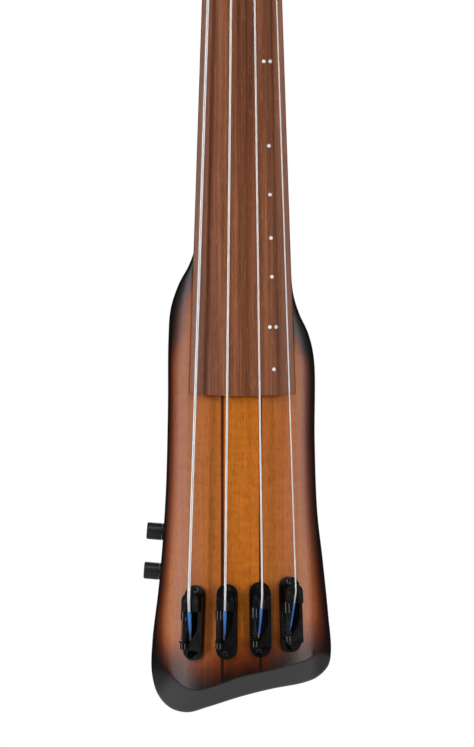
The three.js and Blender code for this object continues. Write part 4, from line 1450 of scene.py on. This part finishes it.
def make_battery():
    """The lid with its grooved catch and sunk panel, and the battery with its two snap terminals."""
    x0, x1, z0, z1, depth = BATTERY_BAY
    lid = prism(bay_outline(BATTERY_BAY, 1.2), 0, COVER_THICKNESS)
    middle = (x0 + x1) / 2
    catch = block(middle - 6, middle + 6, -1.0, 0.5, z0 + 0.5, z0 + 6)
    grooves = [block(middle - 5, middle + 5, -1.3, -0.5, z0 + dz, z0 + dz + 0.7) for dz in (1.6, 3.0, 4.4)]
    panel = block(x0 + 3, x1 - 3, -1, 0.35, z0 + 10, z1 - 3)
    build(
        "battery_lid_moulded", lid, "plastic", INSTRUMENT, [catch], [*grooves, panel], (0.25, 2),
        body="battery_lid", stands_for="battery_lid",
    )

    top = depth - 2 - GAP
    case = block(*BATTERY_SIDES, BATTERY_BACK, top, *BATTERY_LEVELS)
    build("battery_case", case, "battery", edge=(1.6, 4), stands_for="battery")
    end = block(16.1, 41.9, 4.6, top - 0.4, 6.9, 8.9)
    build("battery_end", end, "plastic", edge=(0.4, 2))
    height = (BATTERY_BACK + top) / 2
    for i, (x, outer) in enumerate(((22.7, 2.8), (35.3, 3.6))):
        inner = outer - 1.2
        profile = [(outer, 0), (outer, 1.2), (outer - 0.5, 1.9), (inner, 1.9), (inner, 0.6), (0, 0.6)]
        snap = lathe(profile, (x, -height, 7.0), (0, 0, -1), 8 if i else 32)
        build(f"battery_snap_{i}", snap, "steel")


def make_electronics():
    """The chips, the small parts and the capacitors on the preamp board."""
    face = PREAMP_FACE
    parts = [block(-36, -27, face - 1.6, face, z, z + 6) for z in (44, 54)]
    spots = [(x, z) for x in (-23, -20, -17, -14) for z in (30, 37, 44)]
    parts += [block(x, x + 1.6, face - 1, face, z, z + 3.2) for x, z in spots]
    build("preamp_chips", join_bms(*parts), "plastic", edge=(0.15, 2))
    spots = ((-37, 31), (-30, 31), (-18, 60), (-12, 60))
    cans = [rod(2.6, (x, -face, z), (x, -face + 6, z), 24) for x, z in spots]
    build("preamp_capacitors", join_bms(*cans), "steel", edge=(0.4, 2))


def make_jack():
    """A panel jack held by a hexagon nut on a washer."""
    x, z = JACK
    hexagon = [(x + 8 * math.cos(a), z + 8 * math.sin(a)) for a in (i * math.pi / 3 for i in range(6))]
    jack = prism(hexagon, -2.2, -0.7)
    parts = [
        lathe([(8.3, GAP), (8.3, 0.7), (7.8, 0.9), (5, 0.9)], (x, 0, z), (0, 1, 0), 40),
        lathe([(4.9, 0), (5.4, -17.5), (4.6, -18.3)], (x, 1, z), (0, 1, 0), 40),
        lathe([(4.8, 0), (5.3, 0.5), (5.3, 2.0), (4.9, 2.5)], (x, 0.8, z), (0, 1, 0), 40),
    ]
    profile = [(JACK_BORE, -15), (JACK_BORE, 2.8), (JACK_BORE + 0.8, 3.8)]
    bore = lathe(profile, (x, 0, z), (0, 1, 0), 40)
    build(
        "output_jack_turned", jack, "steel", INSTRUMENT, parts, [bore], (0.25, 2), stands_for="output_jack",
    )


def make_stand_plate():
    """A thick plate with two bolt holes and four countersunk screws."""
    face = STAND_PLATE_THICKNESS + GAP
    plate = prism(rounded_outline(56, 90, 6, 0, STAND_PLATE_Z, 8), -face, -GAP)
    spots = [(x, STAND_PLATE_Z + dz) for x in (-21, 21) for dz in (-38, 38)]
    holes = [
        rod(3.3, (0, -1, STAND_PLATE_Z + dz), (0, 10, STAND_PLATE_Z + dz), 40)
        for dz in (-STAND_HOLE_OFFSET, STAND_HOLE_OFFSET)
    ]
    holes += [lathe([(1.9, -3.2), (4.0, 0), (4.8, 0.8)], (x, face, z), (0, 1, 0), 32) for x, z in spots]
    build("stand_plate_milled", plate, "metal", cuts=holes, edge=(0.5, 3, 30), stands_for="stand_plate")
    for i, (x, z) in enumerate(spots):
        flat_screw(f"stand_plate_screw_{i}", "steel", 3.7, (x, face, z), (0, 1, 0))


# ---------------------------------------------------------------- the kept CAD pieces
def dress_kept():
    """Materials and softened edges for the CAD nodes that stay as they are."""
    choices = {
        "nut": ("nut", 0.4), "truss_rod": ("steel", 0.3), "preamp_board": ("circuit", 0.1),
        "battery_box": ("plastic", 0.3), "volume_shaft": ("steel", 0.3), "tone_shaft": ("steel", 0.3),
        "volume_pot": ("metal", 0.3), "tone_pot": ("metal", 0.3),
    }
    choices.update({f"pickup_{name}": ("brass", 0.2) for name in STRINGS})
    for node, (material, width) in choices.items():
        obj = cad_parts[node]
        obj.data.materials.clear()
        obj.data.materials.append(MATERIALS[material])
        bevel = obj.modifiers.new("bevel", "BEVEL")
        bevel.width = width / 1000
        bevel.segments = 2
        bevel.limit_method = "ANGLE"


# ---------------------------------------------------------------- camera, light, floor
def make_camera():
    camera = bpy.data.cameras.new("camera")
    camera.lens = CAMERA_LENS
    camera.sensor_width = 36
    obj = bpy.data.objects.new("camera", camera)
    obj.location = CAMERA_PLACE
    obj.rotation_euler = (math.radians(90), 0, 0)
    bpy.context.scene.collection.objects.link(obj)
    bpy.context.scene.camera = obj


def area_light(name, place, target, size, power):
    light = bpy.data.lights.new(name, "AREA")
    light.shape = "RECTANGLE"
    light.size, light.size_y = size
    light.energy = power
    obj = bpy.data.objects.new(name, light)
    obj.location = place
    obj.rotation_euler = (Vector(target) - Vector(place)).to_track_quat("-Z", "Y").to_euler()
    obj.visible_camera = False
    bpy.context.scene.collection.objects.link(obj)


def make_lights():
    for name, light in LIGHTS.items():
        area_light(name, *light)


def make_world():
    """White behind the object, and a dimmer, even light on it."""
    world = bpy.data.worlds.new("studio")
    world.use_nodes = True
    tree = world.node_tree
    tree.nodes.clear()
    path = tree.nodes.new("ShaderNodeLightPath")
    mixed = tree.nodes.new("ShaderNodeMixShader")
    out = tree.nodes.new("ShaderNodeOutputWorld")
    tree.links.new(path.outputs["Is Camera Ray"], mixed.inputs[0])
    for slot, strength in ((1, AMBIENT), (2, 1.0)):
        light = tree.nodes.new("ShaderNodeBackground")
        light.inputs["Color"].default_value = (1, 1, 1, 1)
        light.inputs["Strength"].default_value = strength
        tree.links.new(light.outputs[0], mixed.inputs[slot])
    tree.links.new(mixed.outputs[0], out.inputs[0])
    bpy.context.scene.world = world
    bpy.context.scene.view_settings.view_transform = "Standard"


def make_floor():
    profile = [(FLOOR_RADIUS, 0), (FLOOR_RADIUS, FLOOR_THICKNESS), (0, FLOOR_THICKNESS)]
    floor = put("floor", lathe(profile, (0, 0, FLOOR_Z), (0, 0, 1), 96), METRES)
    shader = Shader("floor_paper", roughness=0.8)
    shader.cloudy(3, (0.88, 0.88, 0.88, 1), (0.93, 0.93, 0.93, 1))
    floor.data.materials.append(shader.material)


make_wood()
make_fingerboard()
make_dots()
make_strings()
make_bridges()
make_knobs()
make_tuners()
make_covers()
make_battery()
make_electronics()
make_jack()
make_stand_plate()
dress_kept()
make_floor()
make_camera()
make_lights()
make_world()
